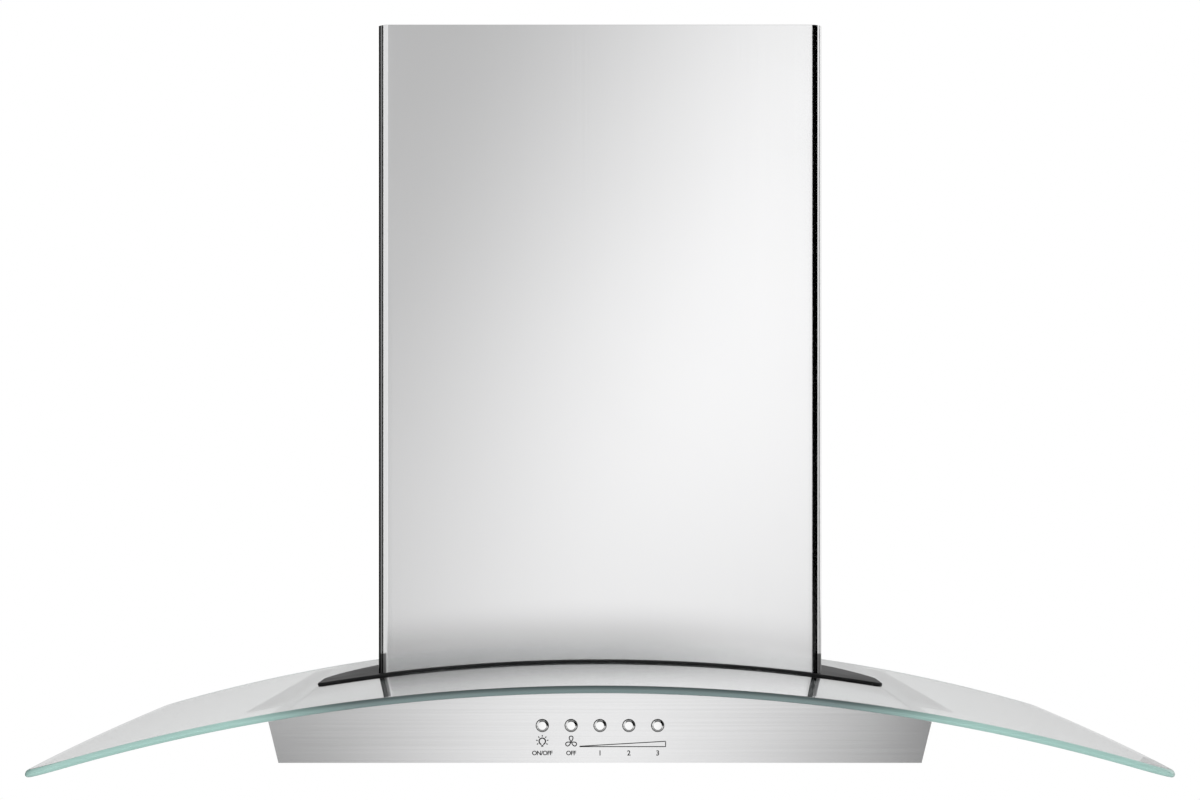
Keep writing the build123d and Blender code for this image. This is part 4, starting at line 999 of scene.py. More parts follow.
@dataclass
class GlassCanopy(SubAssembly):
    """The bent glass sheet with its rounded, polished edge."""

    front: float = -0.5
    back: float = -0.002
    half: float = 0.457
    back_half: float = 0.43
    bow: float = 0.012
    front_corner: float = 0.036
    back_corner: float = 0.012
    thickness: float = 0.006
    notch_half: float = 0.154
    notch_front: float = -0.236
    columns: int = 44
    rim_steps: int = 10
    corner_rows: int = 14
    front_rows: int = 30
    wing_rows: int = 26
    crease: float = 50.0

    def build(self) -> None:
        """Makes the two faces as grids over the arch and the rim as a half round along their edge."""
        inset = self.thickness / 2
        front_plan, left_plan, right_plan = self.plans(inset)
        edge = self.boundary(front_plan, left_plan, right_plan)
        patches = []
        for offset in (0.0, -self.thickness):
            for plan in (front_plan, left_plan, right_plan):
                patches.append(Patch(self.lifted(plan, np.full(plan.shape[:2], offset))))
        turn = np.linspace(math.pi / 2, -math.pi / 2, self.rim_steps + 1)
        rim = edge[:, None, :] + outward(edge, True)[:, None, :] * (inset * np.cos(turn))[None, :, None]
        drop = np.broadcast_to(-inset + inset * np.sin(turn), rim.shape[:2])
        patches.append(Patch(self.lifted(rim, drop), closed_rows=True, slot=1))
        piece = mesh_piece("bent_glass", patches, self.crease)
        self.place(piece, [CLEAR, EDGE], "hood", "glass", "glass_canopy")

    def lifted(self, plan: np.ndarray, offset: np.ndarray) -> np.ndarray:
        """Lifts plan points onto the arch: height is the arch at their X and offset.

        Args:
            plan: Points in plan.
            offset: Distance of each from the glass's top face.

        Returns:
            The points in space.
        """
        return np.concatenate([plan, ARCH.height(plan[..., 0], offset)[..., None]], axis=-1)

    def half_width(self, depth: np.ndarray, inset: float) -> np.ndarray:
        """Gives half the sheet's width: the bowed side's circle, drawn in by a quarter round at each corner.

        Args:
            depth: Place along Y.
            inset: How far inside the edge.

        Returns:
            Half the width at each place.
        """
        chord = np.array([self.back_half - self.half, self.back - self.front])
        bulge = np.array([chord[1], -chord[0]]) / np.linalg.norm(chord) * self.bow
        middle = np.array([self.half + self.back_half, self.front + self.back]) / 2 + bulge
        centre, radius = arc_through((self.half, self.front), middle, (self.back_half, self.back))
        side = centre[0] + np.sqrt((radius - inset) ** 2 - (depth - centre[1]) ** 2)
        near_front, near_back = depth - self.front - inset, self.back - inset - depth
        for corner, near in ((self.front_corner, near_front), (self.back_corner, near_back)):
            rounding = corner - inset
            short = np.clip(rounding - near, 0, rounding)
            side = side - rounding + np.sqrt(np.maximum(rounding**2 - short**2, 0))
        return side

    def plans(self, inset: float) -> tuple[np.ndarray, np.ndarray, np.ndarray]:
        """Gives three plan grids that share their edges: the front strip and the two wings beside the notch.

        Args:
            inset: How far inside the edge they stop.

        Returns:
            The front, left and right grids.
        """
        step = 1 - np.cos(np.linspace(0, math.pi / 2, self.corner_rows))
        round_front, round_back = self.front_corner - inset, self.back_corner - inset
        low, notch, high = self.front + inset, self.notch_front - inset, self.back - inset
        straight = np.linspace(low + round_front, notch, self.front_rows)[1:]
        front_rows = np.concatenate([low + round_front * step, straight])
        straight = np.linspace(notch, high - round_back, self.wing_rows)
        wing_rows = np.concatenate([straight, high - round_back * step[::-1][1:]])
        share = np.linspace(0, 1, self.columns + 1)
        inner = self.notch_half + inset

        def wing(rows: np.ndarray) -> np.ndarray:
            """Gives the left wing's points: even steps from the edge to the notch in each row.

            Args:
                rows: Places of the rows along Y.

            Returns:
                The points in plan, rows by columns by two.
            """
            width = self.half_width(rows, inset)[:, None]
            return level_points(-width + (width - inner) * share, rows[:, None])

        left_front, left = wing(front_rows), wing(wing_rows)
        middle = level_points((inner * (2 * share - 1))[None, :], front_rows[:, None])
        front = np.concatenate([left_front, middle[:, 1:-1], left_front[:, ::-1] * MIRROR], axis=1)
        return front, left, left[:, ::-1] * MIRROR

    def boundary(self, front: np.ndarray, left: np.ndarray, right: np.ndarray) -> np.ndarray:
        """Walks round the three grids' outer edge, anticlockwise from above.

        Args:
            front: Front grid.
            left: Left wing.
            right: Right wing.

        Returns:
            The edge's points in order.
        """
        last = self.columns
        runs = [
            front[0],
            front[1:, -1],
            right[1:, -1],
            right[-1, ::-1][1:],
            right[::-1, 0][1:],
            front[-1, last:-last][::-1][1:-1],
            left[:, -1],
            left[-1, ::-1][1:],
            left[::-1, 0][1:],
            front[::-1, 0][1:-1],
        ]
        return np.concatenate(runs)


@dataclass
class RoofLedges(SubAssembly):
    """The two thin plates that carry the glass past the body's sides, behind the fascia."""

    inner: float = 0.254
    front_reach: float = 0.291
    back_reach: float = 0.279
    front: float = -0.393
    back: float = -0.002
    top: float = -0.0076
    sheet: float = 0.001
    rows: int = 12
    columns: int = 9

    def build(self) -> None:
        """Makes each plate a thin closed strip on the arch, whose width changes evenly from front to back."""
        along = np.linspace(self.front, self.back, self.rows)
        reach = np.linspace(self.front_reach, self.back_reach, self.rows)
        share = np.linspace(0, 1, self.columns)
        ring = np.concatenate([share, share[::-1]])
        offset = np.repeat([self.top, self.top - self.sheet], self.columns)
        across = self.inner + (reach - self.inner)[:, None] * ring
        height = ARCH.height(across, offset)
        for side, name in ((-1, "left_roof_ledge"), (1, "right_roof_ledge")):
            points = np.stack(np.broadcast_arrays(side * across, along[:, None], height), axis=-1)
            piece = mesh_piece(name, [Patch(points, closed_columns=True), *end_caps(points)])
            self.place(piece, [ROOF_STEEL], "hood", "body_steel")


@dataclass
class Chimney(SubAssembly):
    """The lower chimney cover: one folded sheet whose foot follows the trim."""

    half: float = 0.197
    front: float = -0.25
    corner: float = 0.009
    fold: float = 0.0015
    back_return: float = 0.012
    sheet: float = 0.0008
    burr: float = 0.0002
    foot: float = 0.0018
    fold_steps: int = 24
    spacing: float = 0.008

    def build(self) -> None:
        """Carries the sheet's small rounded section along the plan of its folds."""
        back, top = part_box("lower_chimney")[1][1:]
        corners = [
            (-self.half + self.back_return, back),
            (-self.half, back),
            (-self.half, self.front),
            (self.half, self.front),
            (self.half, back),
            (self.half - self.back_return, back),
        ]
        radii = [self.fold, self.corner, self.corner, self.fold]
        folds = zip(corners, corners[1:], corners[2:], radii)
        arcs = [rounded_corner(*fold, self.fold_steps) for fold in folds]
        path = run(np.concatenate([[corners[0]], *arcs, [corners[-1]]]), self.spacing)
        # The section's eight points: how far in each lies, and how far from the top or from the foot, where -1
        # stands for a point that is measured from the other end
        edge, sheet = self.burr, self.sheet
        inwards = np.array([0, 0, edge, sheet - edge, sheet, sheet, sheet - edge, edge])
        from_top = np.array([-1, edge, 0, 0, edge, -1, -1, -1])
        from_foot = np.array([edge, -1, -1, -1, -1, edge, 0, 0])
        plan = path[:, None, :] - outward(path)[:, None, :] * inwards[None, :, None]
        foot = ARCH.height(plan[..., 0], self.foot) + np.maximum(from_foot, 0)
        height = np.where(from_top >= 0, top - from_top, foot)
        points = np.concatenate([plan, height[..., None]], axis=-1)
        piece = mesh_piece("chimney_cover", [Patch(points, closed_columns=True), *end_caps(points, 1)])
        self.place(piece, [CHIMNEY_STEEL], "hood", "polished_steel", "lower_chimney")


@dataclass
class ChimneyTrim(SubAssembly):
    """The black moulding round the chimney's foot, with an ear at each side."""

    front: float = -0.257
    back: float = -0.002
    tip: float = 0.2504
    side: float = 0.2
    ear_start: float = -0.2
    ear_end: float = -0.113
    ear_bow: float = 0.008
    tip_radius: float = 0.009
    inner: float = 0.191
    inner_front: float = -0.244
    height: float = 0.0018
    edge_round: float = 0.0008
    edge_steps: int = 6
    rear_steps: int = 12
    ear_steps: int = 24
    tip_steps: int = 14
    reach_steps: int = 10
    bar_steps: int = 28
    crease: float = 40.0

    def build(self) -> None:
        """Carries a section with a rounded outer edge between the outer and inner outlines."""
        outer, inner = self.outlines()
        turn = np.linspace(0, math.pi / 2, self.edge_steps + 1)[1:]
        drawn_in = np.concatenate([[0, 0], self.edge_round * (1 - np.cos(turn)), [0, 0]])
        spring = self.height - self.edge_round
        lift = np.concatenate([[0, spring], spring + self.edge_round * np.sin(turn), [self.height, 0]])
        share = np.repeat([0.0, 1.0], [self.edge_steps + 2, 2])[None, :, None]
        plan = outer[:, None, :] * (1 - share) + inner[:, None, :] * share
        plan = plan - outward(outer)[:, None, :] * drawn_in[None, :, None]
        points = np.concatenate([plan, ARCH.height(plan[..., 0], lift)[..., None]], axis=-1)
        piece = mesh_piece("foot_trim", [Patch(points, closed_columns=True), *end_caps(points)], self.crease)
        self.place(piece, [TRIM_BLACK], "hood", "black_moulding", "chimney_trim")

    def outlines(self) -> tuple[np.ndarray, np.ndarray]:
        """Gives matching points of the outer and inner outlines, from the left back round to the right back.

        Returns:
            Outer and inner points, one row each.
        """
        chord = np.array([self.tip - self.side, self.ear_start - self.ear_end])
        away = np.array([-chord[1], chord[0]]) / np.linalg.norm(chord)
        middle = np.array([self.tip + self.side, self.ear_start + self.ear_end]) / 2 + away * self.ear_bow
        centre, radius = arc_through((self.side, self.ear_end), middle, (self.tip, self.ear_start))
        ear_y = np.linspace(self.ear_end, self.ear_start, self.ear_steps)
        ear_x = centre[0] + np.sqrt(radius**2 - (ear_y - centre[1]) ** 2)
        before, corner, after = (self.tip, self.ear_start), (self.tip, self.front), (0, self.front)
        tip = rounded_corner(before, corner, after, self.tip_radius, self.tip_steps)
        rear = np.linspace(self.back, self.ear_end, self.rear_steps)[:-1]
        reach = np.linspace(tip[-1, 0], self.inner, self.reach_steps)[1:-1]
        bar = np.linspace(self.inner, 0, self.bar_steps)
        outer = np.concatenate([
            level_points(self.side, rear), level_points(ear_x, ear_y), tip,
            level_points(reach, self.front), level_points(bar, self.front),
        ])
        inner = np.concatenate([
            level_points(self.inner, rear),
            level_points(self.inner, np.linspace(self.ear_end, self.inner_front, self.ear_steps)),
            np.tile([self.inner, self.inner_front], (len(tip) + len(reach), 1)),
            level_points(bar, self.inner_front),
        ])
        return tuple(np.concatenate([right * MIRROR, right[::-1][1:]]) for right in (outer, inner))


@dataclass
class PushButton(SubAssembly):
    """One round push button with a faintly domed face."""

    node: str = "light_button"
    radius: float = 0.0046
    bevel: float = 0.0012
    slope: float = 0.577
    shoulder: float = 0.0002
    crown: float = 0.00002
    length: float = 0.0058
    stem: float = 0.002
    turns: int = 56
    face_steps: int = 8
    shoulder_steps: int = 8
    crease: float = 25.0

    def build(self) -> None:
        """Turns a profile about the button's axis: a domed face, a bevel, a shoulder, a wall and the stem."""
        low, high = (np.array(corner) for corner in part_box(self.node))
        middle = (low + high) / 2
        whole = high[1] - low[1]
        face = np.linspace(0, 1, self.face_steps)
        turn = np.linspace(0, math.pi / 2, self.shoulder_steps + 1)[1:]
        rim = self.radius - self.shoulder
        flat = rim - self.bevel
        fall = self.crown + self.bevel * self.slope
        reach = np.concatenate([
            face * flat, [rim], rim + self.shoulder * np.sin(turn), [self.radius, self.stem, self.stem, 0],
        ])
        depth = np.concatenate([
            self.crown * face**2, [fall], fall + self.shoulder * (1 - np.cos(turn)),
            [self.length, self.length, whole, whole],
        ])
        around = np.linspace(0, 2 * math.pi, self.turns, endpoint=False)
        points = np.stack(np.broadcast_arrays(
            middle[0] + reach[None, :] * np.cos(around)[:, None],
            (low[1] + depth)[None, :],
            middle[2] + reach[None, :] * np.sin(around)[:, None],
        ), axis=-1)
        piece = mesh_piece(f"{self.node}_cap", [Patch(points, closed_rows=True)], self.crease)
        self.place(piece, [BUTTON_STEEL], f"{self.node}_body", "button_steel", self.node)


@dataclass
class FasciaSigns(SubAssembly):
    """The small printed signs under the buttons: a bulb, a fan, a rising wedge, plain words and numbers."""

    face: float = -0.492
    lift: float = 0.00004
    pitch: float = 0.0227
    sign_height: float = -0.2449
    word_height: float = -0.2537
    letter: float = 0.0048
    digit: float = 0.0056
    letter_spacing: float = 0.9
    weight: float = 0.00011
    words: tuple[str, ...] = ("ON/OFF", "OFF", "1", "2", "3")
    bulb_radius: float = 0.0025
    bulb_rise: float = 0.0006
    bulb_open: float = 35.0
    bulb_line: float = 0.001
    neck: tuple[float, float] = (0.0008, -0.0021)
    base_half: float = 0.0009
    base_drops: tuple[float, ...] = (-0.0027, -0.0034)
    base_line: float = 0.0006
    rays: int = 7
    ray_ends: tuple[float, float] = (0.0036, 0.0049)
    ray_fan: float = 120.0
    ray_line: float = 0.0008
    blades: int = 3
    leaf_middle: float = 0.0027
    leaf_half: tuple[float, float] = (0.002, 0.0014)
    leaf_taper: float = 0.35
    leaf_line: float = 0.0008
    hub_radius: float = 0.0005
    hub_line: float = 0.0006
    wedge_ends: tuple[float, float] = (-0.0161, 0.0516)
    wedge_heights: tuple[float, float, float] = (-0.0036, -0.0033, 0.0006)
    wedge_line: float = 0.0007
    wedge_spacing: float = 0.002
    round_steps: int = 40
    spacing: float = 0.0004
    crease: float = 60.0

    def build(self) -> None:
        """Makes every sign a thin ribbon or letter on the fascia's face."""
        side = len(self.words) // 2
        bulb = (-side * self.pitch, self.sign_height)
        fan = ((1 - side) * self.pitch, self.sign_height)
        patches = [*self.bulb(bulb), *self.fan(fan), self.wedge()]
        self.place(mesh_piece("printed_signs", patches, self.crease), [INK], "hood", "black_moulding")
        for number, word in enumerate(self.words):
            self.lettering(word, number, number - side)

    def ribbon(self, path: np.ndarray, closed: bool, width: float) -> Patch:
        """Makes a flat line: the path moved half a width to each side.

        Args:
            path: Points in X and Z.
            closed: Whether the line ends where it starts.
            width: Width of the line.

        Returns:
            The line as a patch on the fascia.
        """
        half = outward(path, closed) * width / 2
        sides = np.stack([path - half, path + half], axis=1)
        level = np.full(sides.shape[:2], self.face - self.lift)
        return Patch(np.stack([sides[..., 0], level, sides[..., 1]], axis=-1), closed_rows=closed)

    def bulb(self, middle: Plan) -> list[Patch]:
        """Makes the bulb: an open circle, a neck, two base lines and seven rays.

        Args:
            middle: Place in X and Z.

        Returns:
            Its lines.
        """
        base = np.array(middle)
        centre = base + np.array([0, self.bulb_rise])
        around = np.radians(np.linspace(self.bulb_open - 90, 270 - self.bulb_open, self.round_steps))
        glass = self.bulb_radius * level_points(np.cos(around), np.sin(around)) + centre
        neck = np.array(self.neck)
        outline = np.concatenate([[base + neck], glass, [base + neck * MIRROR]])
        lines = [self.ribbon(run(outline, self.spacing), False, self.bulb_line)]
        for drop in self.base_drops:
            ends = level_points(np.array([-self.base_half, self.base_half]), drop)
            lines.append(self.ribbon(ends + base, False, self.base_line))
        for angle in np.radians(np.linspace(90 - self.ray_fan, 90 + self.ray_fan, self.rays)):
            way = np.array([math.cos(angle), math.sin(angle)])
            lines.append(self.ribbon(np.outer(self.ray_ends, way) + centre, False, self.ray_line))
        return lines

    def fan(self, middle: Plan) -> list[Patch]:
        """Makes the fan: three leaf-shaped blades round a small hub.

        Args:
            middle: Place in X and Z.

        Returns:
            Its lines.
        """
        centre = np.array(middle)
        along = np.linspace(0, 2 * math.pi, self.round_steps, endpoint=False)
        long, wide = self.leaf_half
        taper = 1 - self.leaf_taper * np.cos(along)
        leaf = level_points(self.leaf_middle - long * np.cos(along), wide * np.sin(along) * taper)
        lines = []
        for angle in math.pi / 2 + np.arange(self.blades) * 2 * math.pi / self.blades:
            turn = np.array([[math.cos(angle), math.sin(angle)], [-math.sin(angle), math.cos(angle)]])
            lines.append(self.ribbon(leaf @ turn + centre, True, self.leaf_line))
        hub = self.hub_radius * level_points(np.cos(along), np.sin(along))
        lines.append(self.ribbon(hub + centre, True, self.hub_line))
        return lines

    def wedge(self) -> Patch:
        """Makes the rising wedge beside the fan, as a thin outline.

        Returns:
            Its outline.
        """
        left, right = self.wedge_ends
        low, start, high = (self.sign_height + height for height in self.wedge_heights)
        corners = np.array([[left, low], [right, low], [right, high], [left, start], [left, low]])
        return self.ribbon(run(corners, self.wedge_spacing)[:-1], True, self.wedge_line)

    def lettering(self, word: str, number: int, column: int) -> None:
        """Sets one word or number under its button.

        Args:
            word: What it says.
            number: Its number from the left.
            column: Its column, counted from the middle button.
        """
        curve = bpy.data.curves.new("letters", "FONT")
        curve.body, curve.offset = word, self.weight
        curve.size = self.digit if word.isdigit() else self.letter
        curve.space_character = self.letter_spacing
        curve.align_x, curve.align_y = "CENTER", "CENTER"
        holder = bpy.data.objects.new("letters", curve)
        bpy.context.scene.collection.objects.link(holder)
        bpy.context.view_layer.update()
        flat = bpy.data.meshes.new_from_object(holder.evaluated_get(bpy.context.evaluated_depsgraph_get()))
        bpy.data.objects.remove(holder)
        bpy.data.curves.remove(curve)
        places = np.empty(len(flat.vertices) * 3)
        flat.vertices.foreach_get("co", places)
        drawn = places.reshape(-1, 3)
        placed = np.stack([
            drawn[:, 0] + column * self.pitch,
            np.full(len(drawn), self.face - self.lift),
            drawn[:, 1] + self.word_height,
        ], axis=-1)
        flat.vertices.foreach_set("co", placed.ravel())
        flat.update()
        piece = bpy.data.objects.new(f"sign_{number}", flat)
        bpy.context.scene.collection.objects.link(piece)
        flat.materials.clear()
        self.place(piece, [INK], "hood", "black_moulding")


@dataclass
class FilterMesh(SubAssembly):
    """One grease filter's mesh: layers of wavy aluminium strands that meet in diamonds."""

    side: str = "left"
    strands: int = 34
    waves: int = 25
    layers: tuple[float, ...] = (-0.0016, 0.0016)
    width: float = 0.0009
    thickness: float = 0.0007
    twist: float = 0.0004
    wave_steps: int = 8
    notch_half: float = 0.0175
    notch_depth: float = 0.004
    crease: float = 30.0

    def build(self) -> None:
        """Makes each strand a flat bar along a sine, opposite to the next and shorter behind the latch."""
        node = f"{self.side}_filter_mesh"
        low, high = (np.array(corner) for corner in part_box(node))
        step = (high[0] - low[0] - 2 * self.width) / self.strands
        along = np.linspace(0, 1, self.waves * self.wave_steps + 1)
        number = np.arange(self.strands)
        phase = np.where(number % 2 == 0, 1.0, -1.0)
        aside = np.abs(number + 0.5 - self.strands / 2) * step
        start = low[1] + np.where(aside < self.notch_half, self.notch_depth, 0.0)[:, None]
        middle_z = (low[2] + high[2]) / 2
        patches = []
        for layer, height in enumerate(self.layers):
            wave = phase[:, None] * np.cos(2 * math.pi * self.waves * along + layer * math.pi / 2)
            straight = low[0] + self.width + step * (number[:, None] + 0.5)
            centre = straight + wave * (step - self.width) / 2
            x = centre[:, :, None] + np.array([-1, -1, 1, 1]) * self.width / 2
            y = (start + (high[1] - start) * along)[:, :, None]
            lift = np.array([-1, 1, 1, -1]) * self.thickness / 2
            z = middle_z + height + lift + self.twist * wave[:, :, None]
            strands = np.stack(np.broadcast_arrays(x, y, z), axis=-1)
            patches += [Patch(strand, closed_columns=True) for strand in strands]
            patches += [cap for strand in strands for cap in end_caps(strand)]
        piece = mesh_piece(f"{self.side}_filter_weave", patches, self.crease)
        self.place(piece, [SLOT_FINISH["filter_aluminium"]], f"{self.side}_filter", "filter_aluminium", node)


@dataclass
class CarriedNodes(SubAssembly):
    """The CAD nodes that keep their own shape and get a finish."""

    def build(self) -> None:
        """Gives every node the finish of its material slot, or its own where it has one."""
        slot_of = self.slots()
        for name, node in frame["nodes"].items():
            finish = NODE_FINISH.get(name) or SLOT_FINISH[slot_of[name]]
            node.data.materials.clear()
            node.data.materials.append(finish.material())
            LOG.info("%s: CAD node in %s", name, finish.name)

    def slots(self) -> dict[str, str]:
        """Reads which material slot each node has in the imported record.

        Returns:
            The slot of each node.
        """
        return {row["node"]: row["material_slot"] for row in frame["record"]["subparts"]}


# Studio

@dataclass(frozen=True)
class Card:
    """A flat card that only reflections see: two plan corners, two heights and a strength."""

    name: str
    start: tuple[float, float]
    end: tuple[float, float]
    low: float
    high: float
    strength: float

    def corners(self) -> list[Point]:
        """Gives the card's corners, along its low edge and then along its high one."""
        return [(*corner, height) for height in (self.low, self.high) for corner in (self.start, self.end)]


@dataclass(frozen=True)
class Lamp:
    """A square soft lamp: where it hangs, what it points at, its size and its power."""

    name: str
    place: Point
    aim: Point
    size: float
    power: float


@dataclass
class Studio:
    """The camera, the floor, the lamps, the world and the cards round the hood.

    Each glow, and the shade's share to the right, is two places and then the values between which it eases.
    """

    camera_place: Point = (0.0, -2.393, -0.0388)
    lens: float = 72.5
    sensor: float = 36.0
    lens_shift: float = 0.0667
    floor_height: float = -1.15
    floor_radius: float = 5.0
    floor_pale: float = 0.86
    floor_mirrored: float = 0.28
    floor_rough: float = 0.9
    floor_shine: float = 0.1
    floor_steps: int = 96
    floor_rings: tuple[float, ...] = (0.0, 0.5, 1.0)
    floor_fade: tuple[float, float] = (0.35, 0.95)
    ambient: float = 0.7
    wall_depth: float = -3.75
    wall_foot: float = -0.475
    wall_top: float = 1.9
    wall_sides: tuple[float, float] = (-0.72, 0.7)
    wall_slant: float = -0.48
    across_glow: tuple[float, ...] = (-0.933, 0.21, 0.48, 1.0)
    upright_glow: tuple[float, ...] = (-1.185, 0.41, 0.7, 1.0)
    fascia_foot: float = -1.3
    fascia_sides: tuple[float, float] = (-1.9, 1.9)
    aside_glow: tuple[float, ...] = (0.0, 0.942, 1.0, 0.12)
    shade_depth: float = -0.52
    shade_foot: float = -0.208
    shade_sag: float = 0.29
    shade_height: float = 0.05
    shade_half: float = 0.27
    shade_steps: int = 25
    shade_dark: float = 0.4
    shade_right: tuple[float, ...] = (0.02, 0.2, 1.0, 0.45)
    overhead: tuple[Point, ...] = ((-1.8, -3.5, 1.3), (1.8, -3.5, 1.3), (-1.8, 0.6, 2.5), (1.8, 0.6, 2.5))
    overhead_strength: float = 0.2
    soft_lamps: tuple[Lamp, ...] = (
        Lamp("top_softbox", (-0.6, -2.2, 2.4), (0.0, -0.25, 0.0), 2.0, 26.0),
        Lamp("left_fill", (-2.6, -1.6, 0.4), (0.0, -0.25, -0.1), 1.6, 8.0),
        Lamp("right_fill", (2.6, -1.6, 0.4), (0.0, -0.25, -0.1), 1.6, 8.0),
        Lamp("back_fill", (0.3, 2.6, 1.2), (0.0, -0.1, 0.0), 1.6, 10.0),
    )
    cards: tuple[Card, ...] = (
        Card("left_soft", (-0.95, -3.7), (-2.7, -1.9), -0.45, 2.2, 0.75),
        Card("left_low", (-0.95, -3.7), (-2.7, -1.9), -1.1, -0.45, 0.42),
        Card("left_black", (-2.8, -1.75), (-2.9, -0.85), -1.1, 2.2, 0.0),
        Card("left_grey", (-2.9, -0.85), (-2.9, 0.35), -1.1, 2.2, 0.2),
        Card("left_back_black", (-2.9, 0.35), (-1.4, 2.5), -1.1, 2.2, 0.0),
        Card("right_black", (0.7, -3.75), (2.75, -2.3), -0.55, 2.2, 0.0),
        Card("right_side_black", (2.75, -2.3), (2.95, -1.0), -0.8, 2.2, 0.0),
        Card("right_low", (0.95, -3.7), (2.75, -2.3), -1.1, -0.55, 0.42),
        Card("right_soft_low", (2.95, -0.75), (2.9, 0.3), -1.1, 0.15, 0.48),
        Card("right_soft", (2.95, -0.75), (2.9, 0.3), 0.15, 0.6, 0.66),
        Card("right_soft_high", (2.95, -0.75), (2.9, 0.3), 0.6, 1.1, 0.82),
        Card("right_back_low", (2.9, 0.6), (1.2, 2.6), -1.1, -0.3, 0.5),
        Card("right_back_black", (2.9, 0.45), (2.7, 0.95), -1.1, 2.2, 0.0),
        Card("back_grey", (-2.6, 2.6), (2.6, 2.6), -0.6, 1.4, 0.66),
    )

    def build(self) -> None:
        """Sets up the whole studio."""
        scene = bpy.context.scene
        scene.view_settings.view_transform = "Standard"
        self.camera()
        self.world()
        self.floor()
        self.lamps()
        for card in self.cards:
            self.reflector(card.name, card.corners(), self.plain_glow(card.name, card.strength))
        dark = self.plain_glow("overhead_dark", self.overhead_strength)
        self.reflector("overhead_dark", self.overhead, dark)
        wall = [(x, self.wall_depth, z) for z in (self.wall_foot, self.wall_top) for x in self.wall_sides]
        self.reflector("chimney_soft_panel", wall, self.chimney_glow())
        heights = (self.fascia_foot, self.wall_foot)
        foot = [(x, self.wall_depth, z) for z in heights for x in self.fascia_sides]
        self.reflector("fascia_soft_panel", foot, self.fascia_glow())
        across = np.linspace(-self.shade_half, self.shade_half, self.shade_steps)
        low = self.shade_foot - self.shade_sag * across**2
        rises = (0.0, self.shade_height)
        edges = [(x, self.shade_depth, z + rise) for rise in rises for x, z in zip(across, low)]
        self.reflector("foot_shade", edges, self.foot_dark())

    def camera(self) -> None:
        """Sets the camera level, square to the fascia and at the photograph's distance."""
        data = bpy.data.cameras.new("camera")
        data.lens = self.lens
        data.sensor_fit = "HORIZONTAL"
        data.sensor_width = self.sensor
        data.shift_y = self.lens_shift
        camera = bpy.data.objects.new("camera", data)
        camera.location = self.camera_place
        camera.rotation_euler = (math.pi / 2, 0.0, 0.0)
        bpy.context.scene.collection.objects.link(camera)
        bpy.context.scene.camera = camera

    def world(self) -> None:
        """Makes the world white to the camera, to reflections and through glass, and softer as light."""
        world = bpy.data.worlds.new("white_studio")
        bpy.context.scene.world = world
        world.use_nodes = True
        tree = world.node_tree
        tree.nodes.clear()
        rays = tree.nodes.new("ShaderNodeLightPath")
        seen = rays.outputs["Is Camera Ray"]
        for other in ("Is Glossy Ray", "Is Transmission Ray"):
            larger = tree.nodes.new("ShaderNodeMath")
            larger.operation = "MAXIMUM"
            tree.links.new(seen, larger.inputs[0])
            tree.links.new(rays.outputs[other], larger.inputs[1])
            seen = larger.outputs["Value"]
        mix = tree.nodes.new("ShaderNodeMixShader")
        tree.links.new(seen, mix.inputs["Fac"])
        for place, strength in ((1, self.ambient), (2, 1.0)):
            glow = tree.nodes.new("ShaderNodeBackground")
            glow.inputs["Color"].default_value = (*WHITE, 1.0)
            glow.inputs["Strength"].default_value = strength
            tree.links.new(glow.outputs["Background"], mix.inputs[place])
        out = tree.nodes.new("ShaderNodeOutputWorld")
        tree.links.new(mix.outputs["Shader"], out.inputs["Surface"])

    def floor(self) -> None:
        """Makes a round pale floor that fades out at its rim and is greyer where steel mirrors it."""
        around = np.linspace(0, 2 * math.pi, self.floor_steps, endpoint=False)[:, None]
        reach = np.array(self.floor_rings) * self.floor_radius
        rings = np.broadcast_arrays(reach * np.cos(around), reach * np.sin(around), self.floor_height)
        floor = mesh_piece("pale_floor", [Patch(np.stack(rings, axis=-1), closed_rows=True)])
        bench = Bench("pale_floor")
        bench.plain(Roughness=self.floor_rough, Specular_IOR_Level=self.floor_shine)
        rays = bench.tree.nodes.new("ShaderNodeLightPath").outputs
        direct = bench.math("SUBTRACT", 1.0, rays["Is Transmission Ray"])
        mirrored = bench.math("MULTIPLY", rays["Is Glossy Ray"], direct)
        shade = bench.math("MULTIPLY_ADD", mirrored, self.floor_mirrored - self.floor_pale, self.floor_pale)
        bench.join(shade, bench.shader.inputs["Base Color"])
        length = bench.tree.nodes.new("ShaderNodeVectorMath")
        length.operation = "LENGTH"
        bench.join(bench.place, length.inputs[0])
        start, end = (share * self.floor_radius for share in self.floor_fade)
        fade = bench.eased(length.outputs["Value"], start, end, 1.0, 0.0)
        above = bench.tree.nodes.new("ShaderNodeNewGeometry").outputs["Backfacing"]
        bench.join(bench.math("MULTIPLY", fade, above), bench.shader.inputs["Alpha"])
        floor.data.materials.append(bench.material)

    def lamps(self) -> None:
        """Hangs a large soft lamp above the front and weaker ones at the sides and the back."""
        for soft in self.soft_lamps:
            data = bpy.data.lights.new(soft.name, "AREA")
            data.size = soft.size
            data.energy = soft.power
            lamp = bpy.data.objects.new(soft.name, data)
            lamp.location = soft.place
            way = np.array(soft.aim) - np.array(soft.place)
            flat = math.hypot(way[0], way[1])
            lamp.rotation_euler = (math.atan2(flat, -way[2]), 0.0, math.atan2(-way[0], way[1]))
            lamp.visible_glossy = False
            lamp.visible_camera = False
            bpy.context.scene.collection.objects.link(lamp)

    def reflector(self, name: str, corners: Sequence[Point], glow: Material) -> None:
        """Hangs one card that only reflections see.

        Args:
            name: Name of the card.
            corners: Its points, along the low edge and then along the high one.
            glow: Its material.
        """
        card = mesh_piece(name, [Patch(np.array(corners, dtype=float).reshape(2, -1, 3))])
        card.data.materials.append(glow)
        card.visible_camera = False
        card.visible_diffuse = False
        card.visible_transmission = False
        card.visible_shadow = False

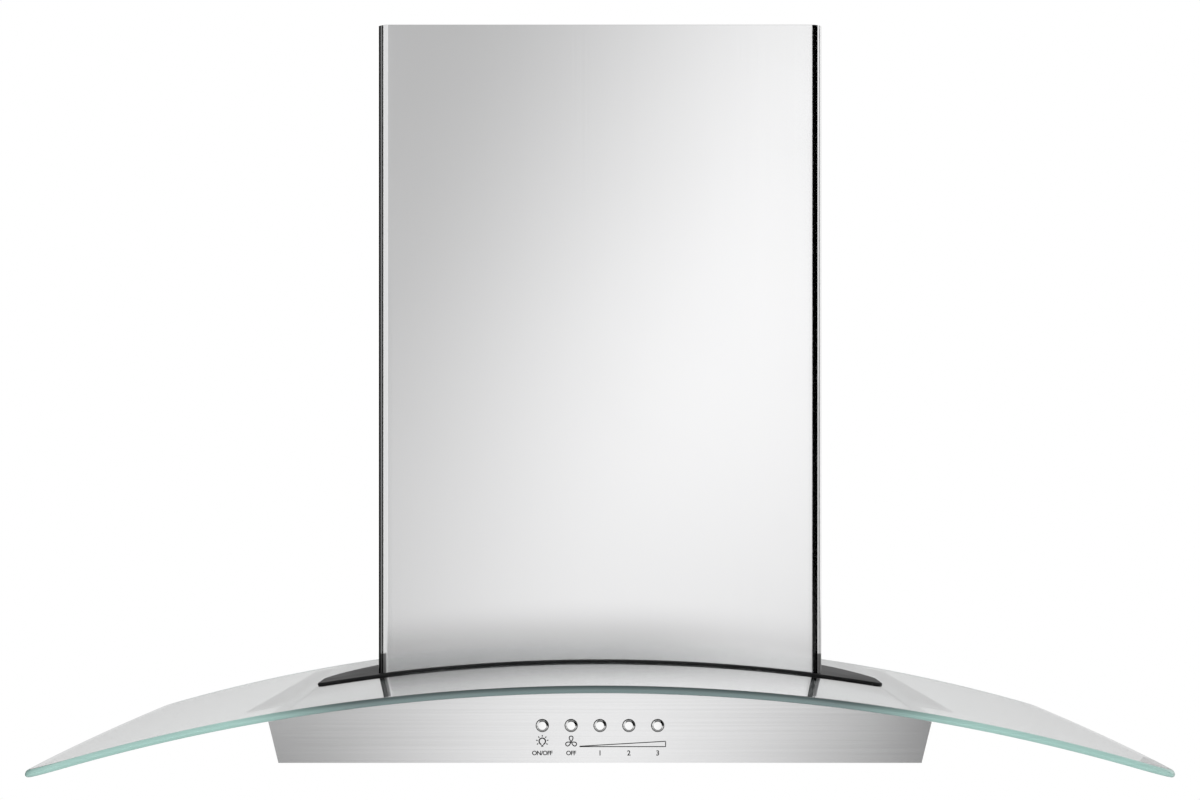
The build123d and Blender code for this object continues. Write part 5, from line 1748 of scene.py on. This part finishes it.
    def black(self, name: str) -> Bench:
        """Starts a card's material: black, without any shine.

        Args:
            name: Name of the material.

        Returns:
            The material's bench.
        """
        bench = Bench(name)
        bench.plain(Base_Color=BLACK, Specular_IOR_Level=0.0, Roughness=1.0)
        return bench

    def plain_glow(self, name: str, strength: float) -> Material:
        """Makes an even card: black, with an emission of one strength.

        Args:
            name: Name of the material.
            strength: Its brightness, where 1 is white.

        Returns:
            The material.
        """
        bench = self.black(name)
        bench.plain(Emission_Color=WHITE, Emission_Strength=strength)
        return bench.material

    def lit(self, bench: Bench, glow: Socket) -> Material:
        """Lets a black card shine with a brightness that varies over it.

        Args:
            bench: The card's bench.
            glow: Its brightness, where 1 is white.

        Returns:
            The material.
        """
        bench.plain(Emission_Strength=1.0)
        bench.join(glow, bench.shader.inputs["Emission Color"])
        return bench.material

    def chimney_glow(self) -> Material:
        """Makes the panel that the chimney mirrors: brighter along a slant to the right, darker at its foot.

        Returns:
            The material.
        """
        bench = self.black("chimney_soft_panel")
        place = bench.axes()
        slant = bench.math("MULTIPLY_ADD", place["Z"], self.wall_slant, place["X"])
        across = bench.eased(slant, *self.across_glow)
        upright = bench.eased(place["Z"], *self.upright_glow)
        return self.lit(bench, bench.math("MULTIPLY", across, upright))

    def fascia_glow(self) -> Material:
        """Makes the low panel that the fascia mirrors: bright in the middle and darker to both sides.

        Returns:
            The material.
        """
        bench = self.black("fascia_soft_panel")
        aside = bench.math("ABSOLUTE", bench.axes()["X"])
        return self.lit(bench, bench.eased(aside, *self.aside_glow))

    def foot_dark(self) -> Material:
        """Makes the shade at the chimney's foot: black, clearer with height above its edge and to the right.

        Returns:
            The material.
        """
        bench = self.black("foot_shade")
        place = bench.axes()
        square = bench.math("MULTIPLY", place["X"], place["X"])
        height = bench.math("MULTIPLY_ADD", square, self.shade_sag, place["Z"])
        top = self.shade_foot + self.shade_height
        depth = bench.eased(height, self.shade_foot, top, self.shade_dark, 0.0)
        share = bench.eased(place["X"], *self.shade_right)
        bench.join(bench.math("MULTIPLY", depth, share), bench.shader.inputs["Alpha"])
        return bench.material


def main() -> None:
    """Builds the hood's looks in order."""
    logging.basicConfig(level=logging.INFO, format="%(name)s %(message)s")
    groups: list[SubAssembly] = [
        CarriedNodes(), GlassCanopy(), RoofLedges(), Chimney(), ChimneyTrim(), FasciaSigns(),
    ]
    for use in ("light", "fan_off", "low_speed", "medium_speed", "high_speed"):
        groups.append(PushButton(node=f"{use}_button"))
    groups += [FilterMesh(side=side) for side in ("left", "right")]
    for group in groups:
        group.build()
    Studio().build()


if __name__ == "__main__":
    main()
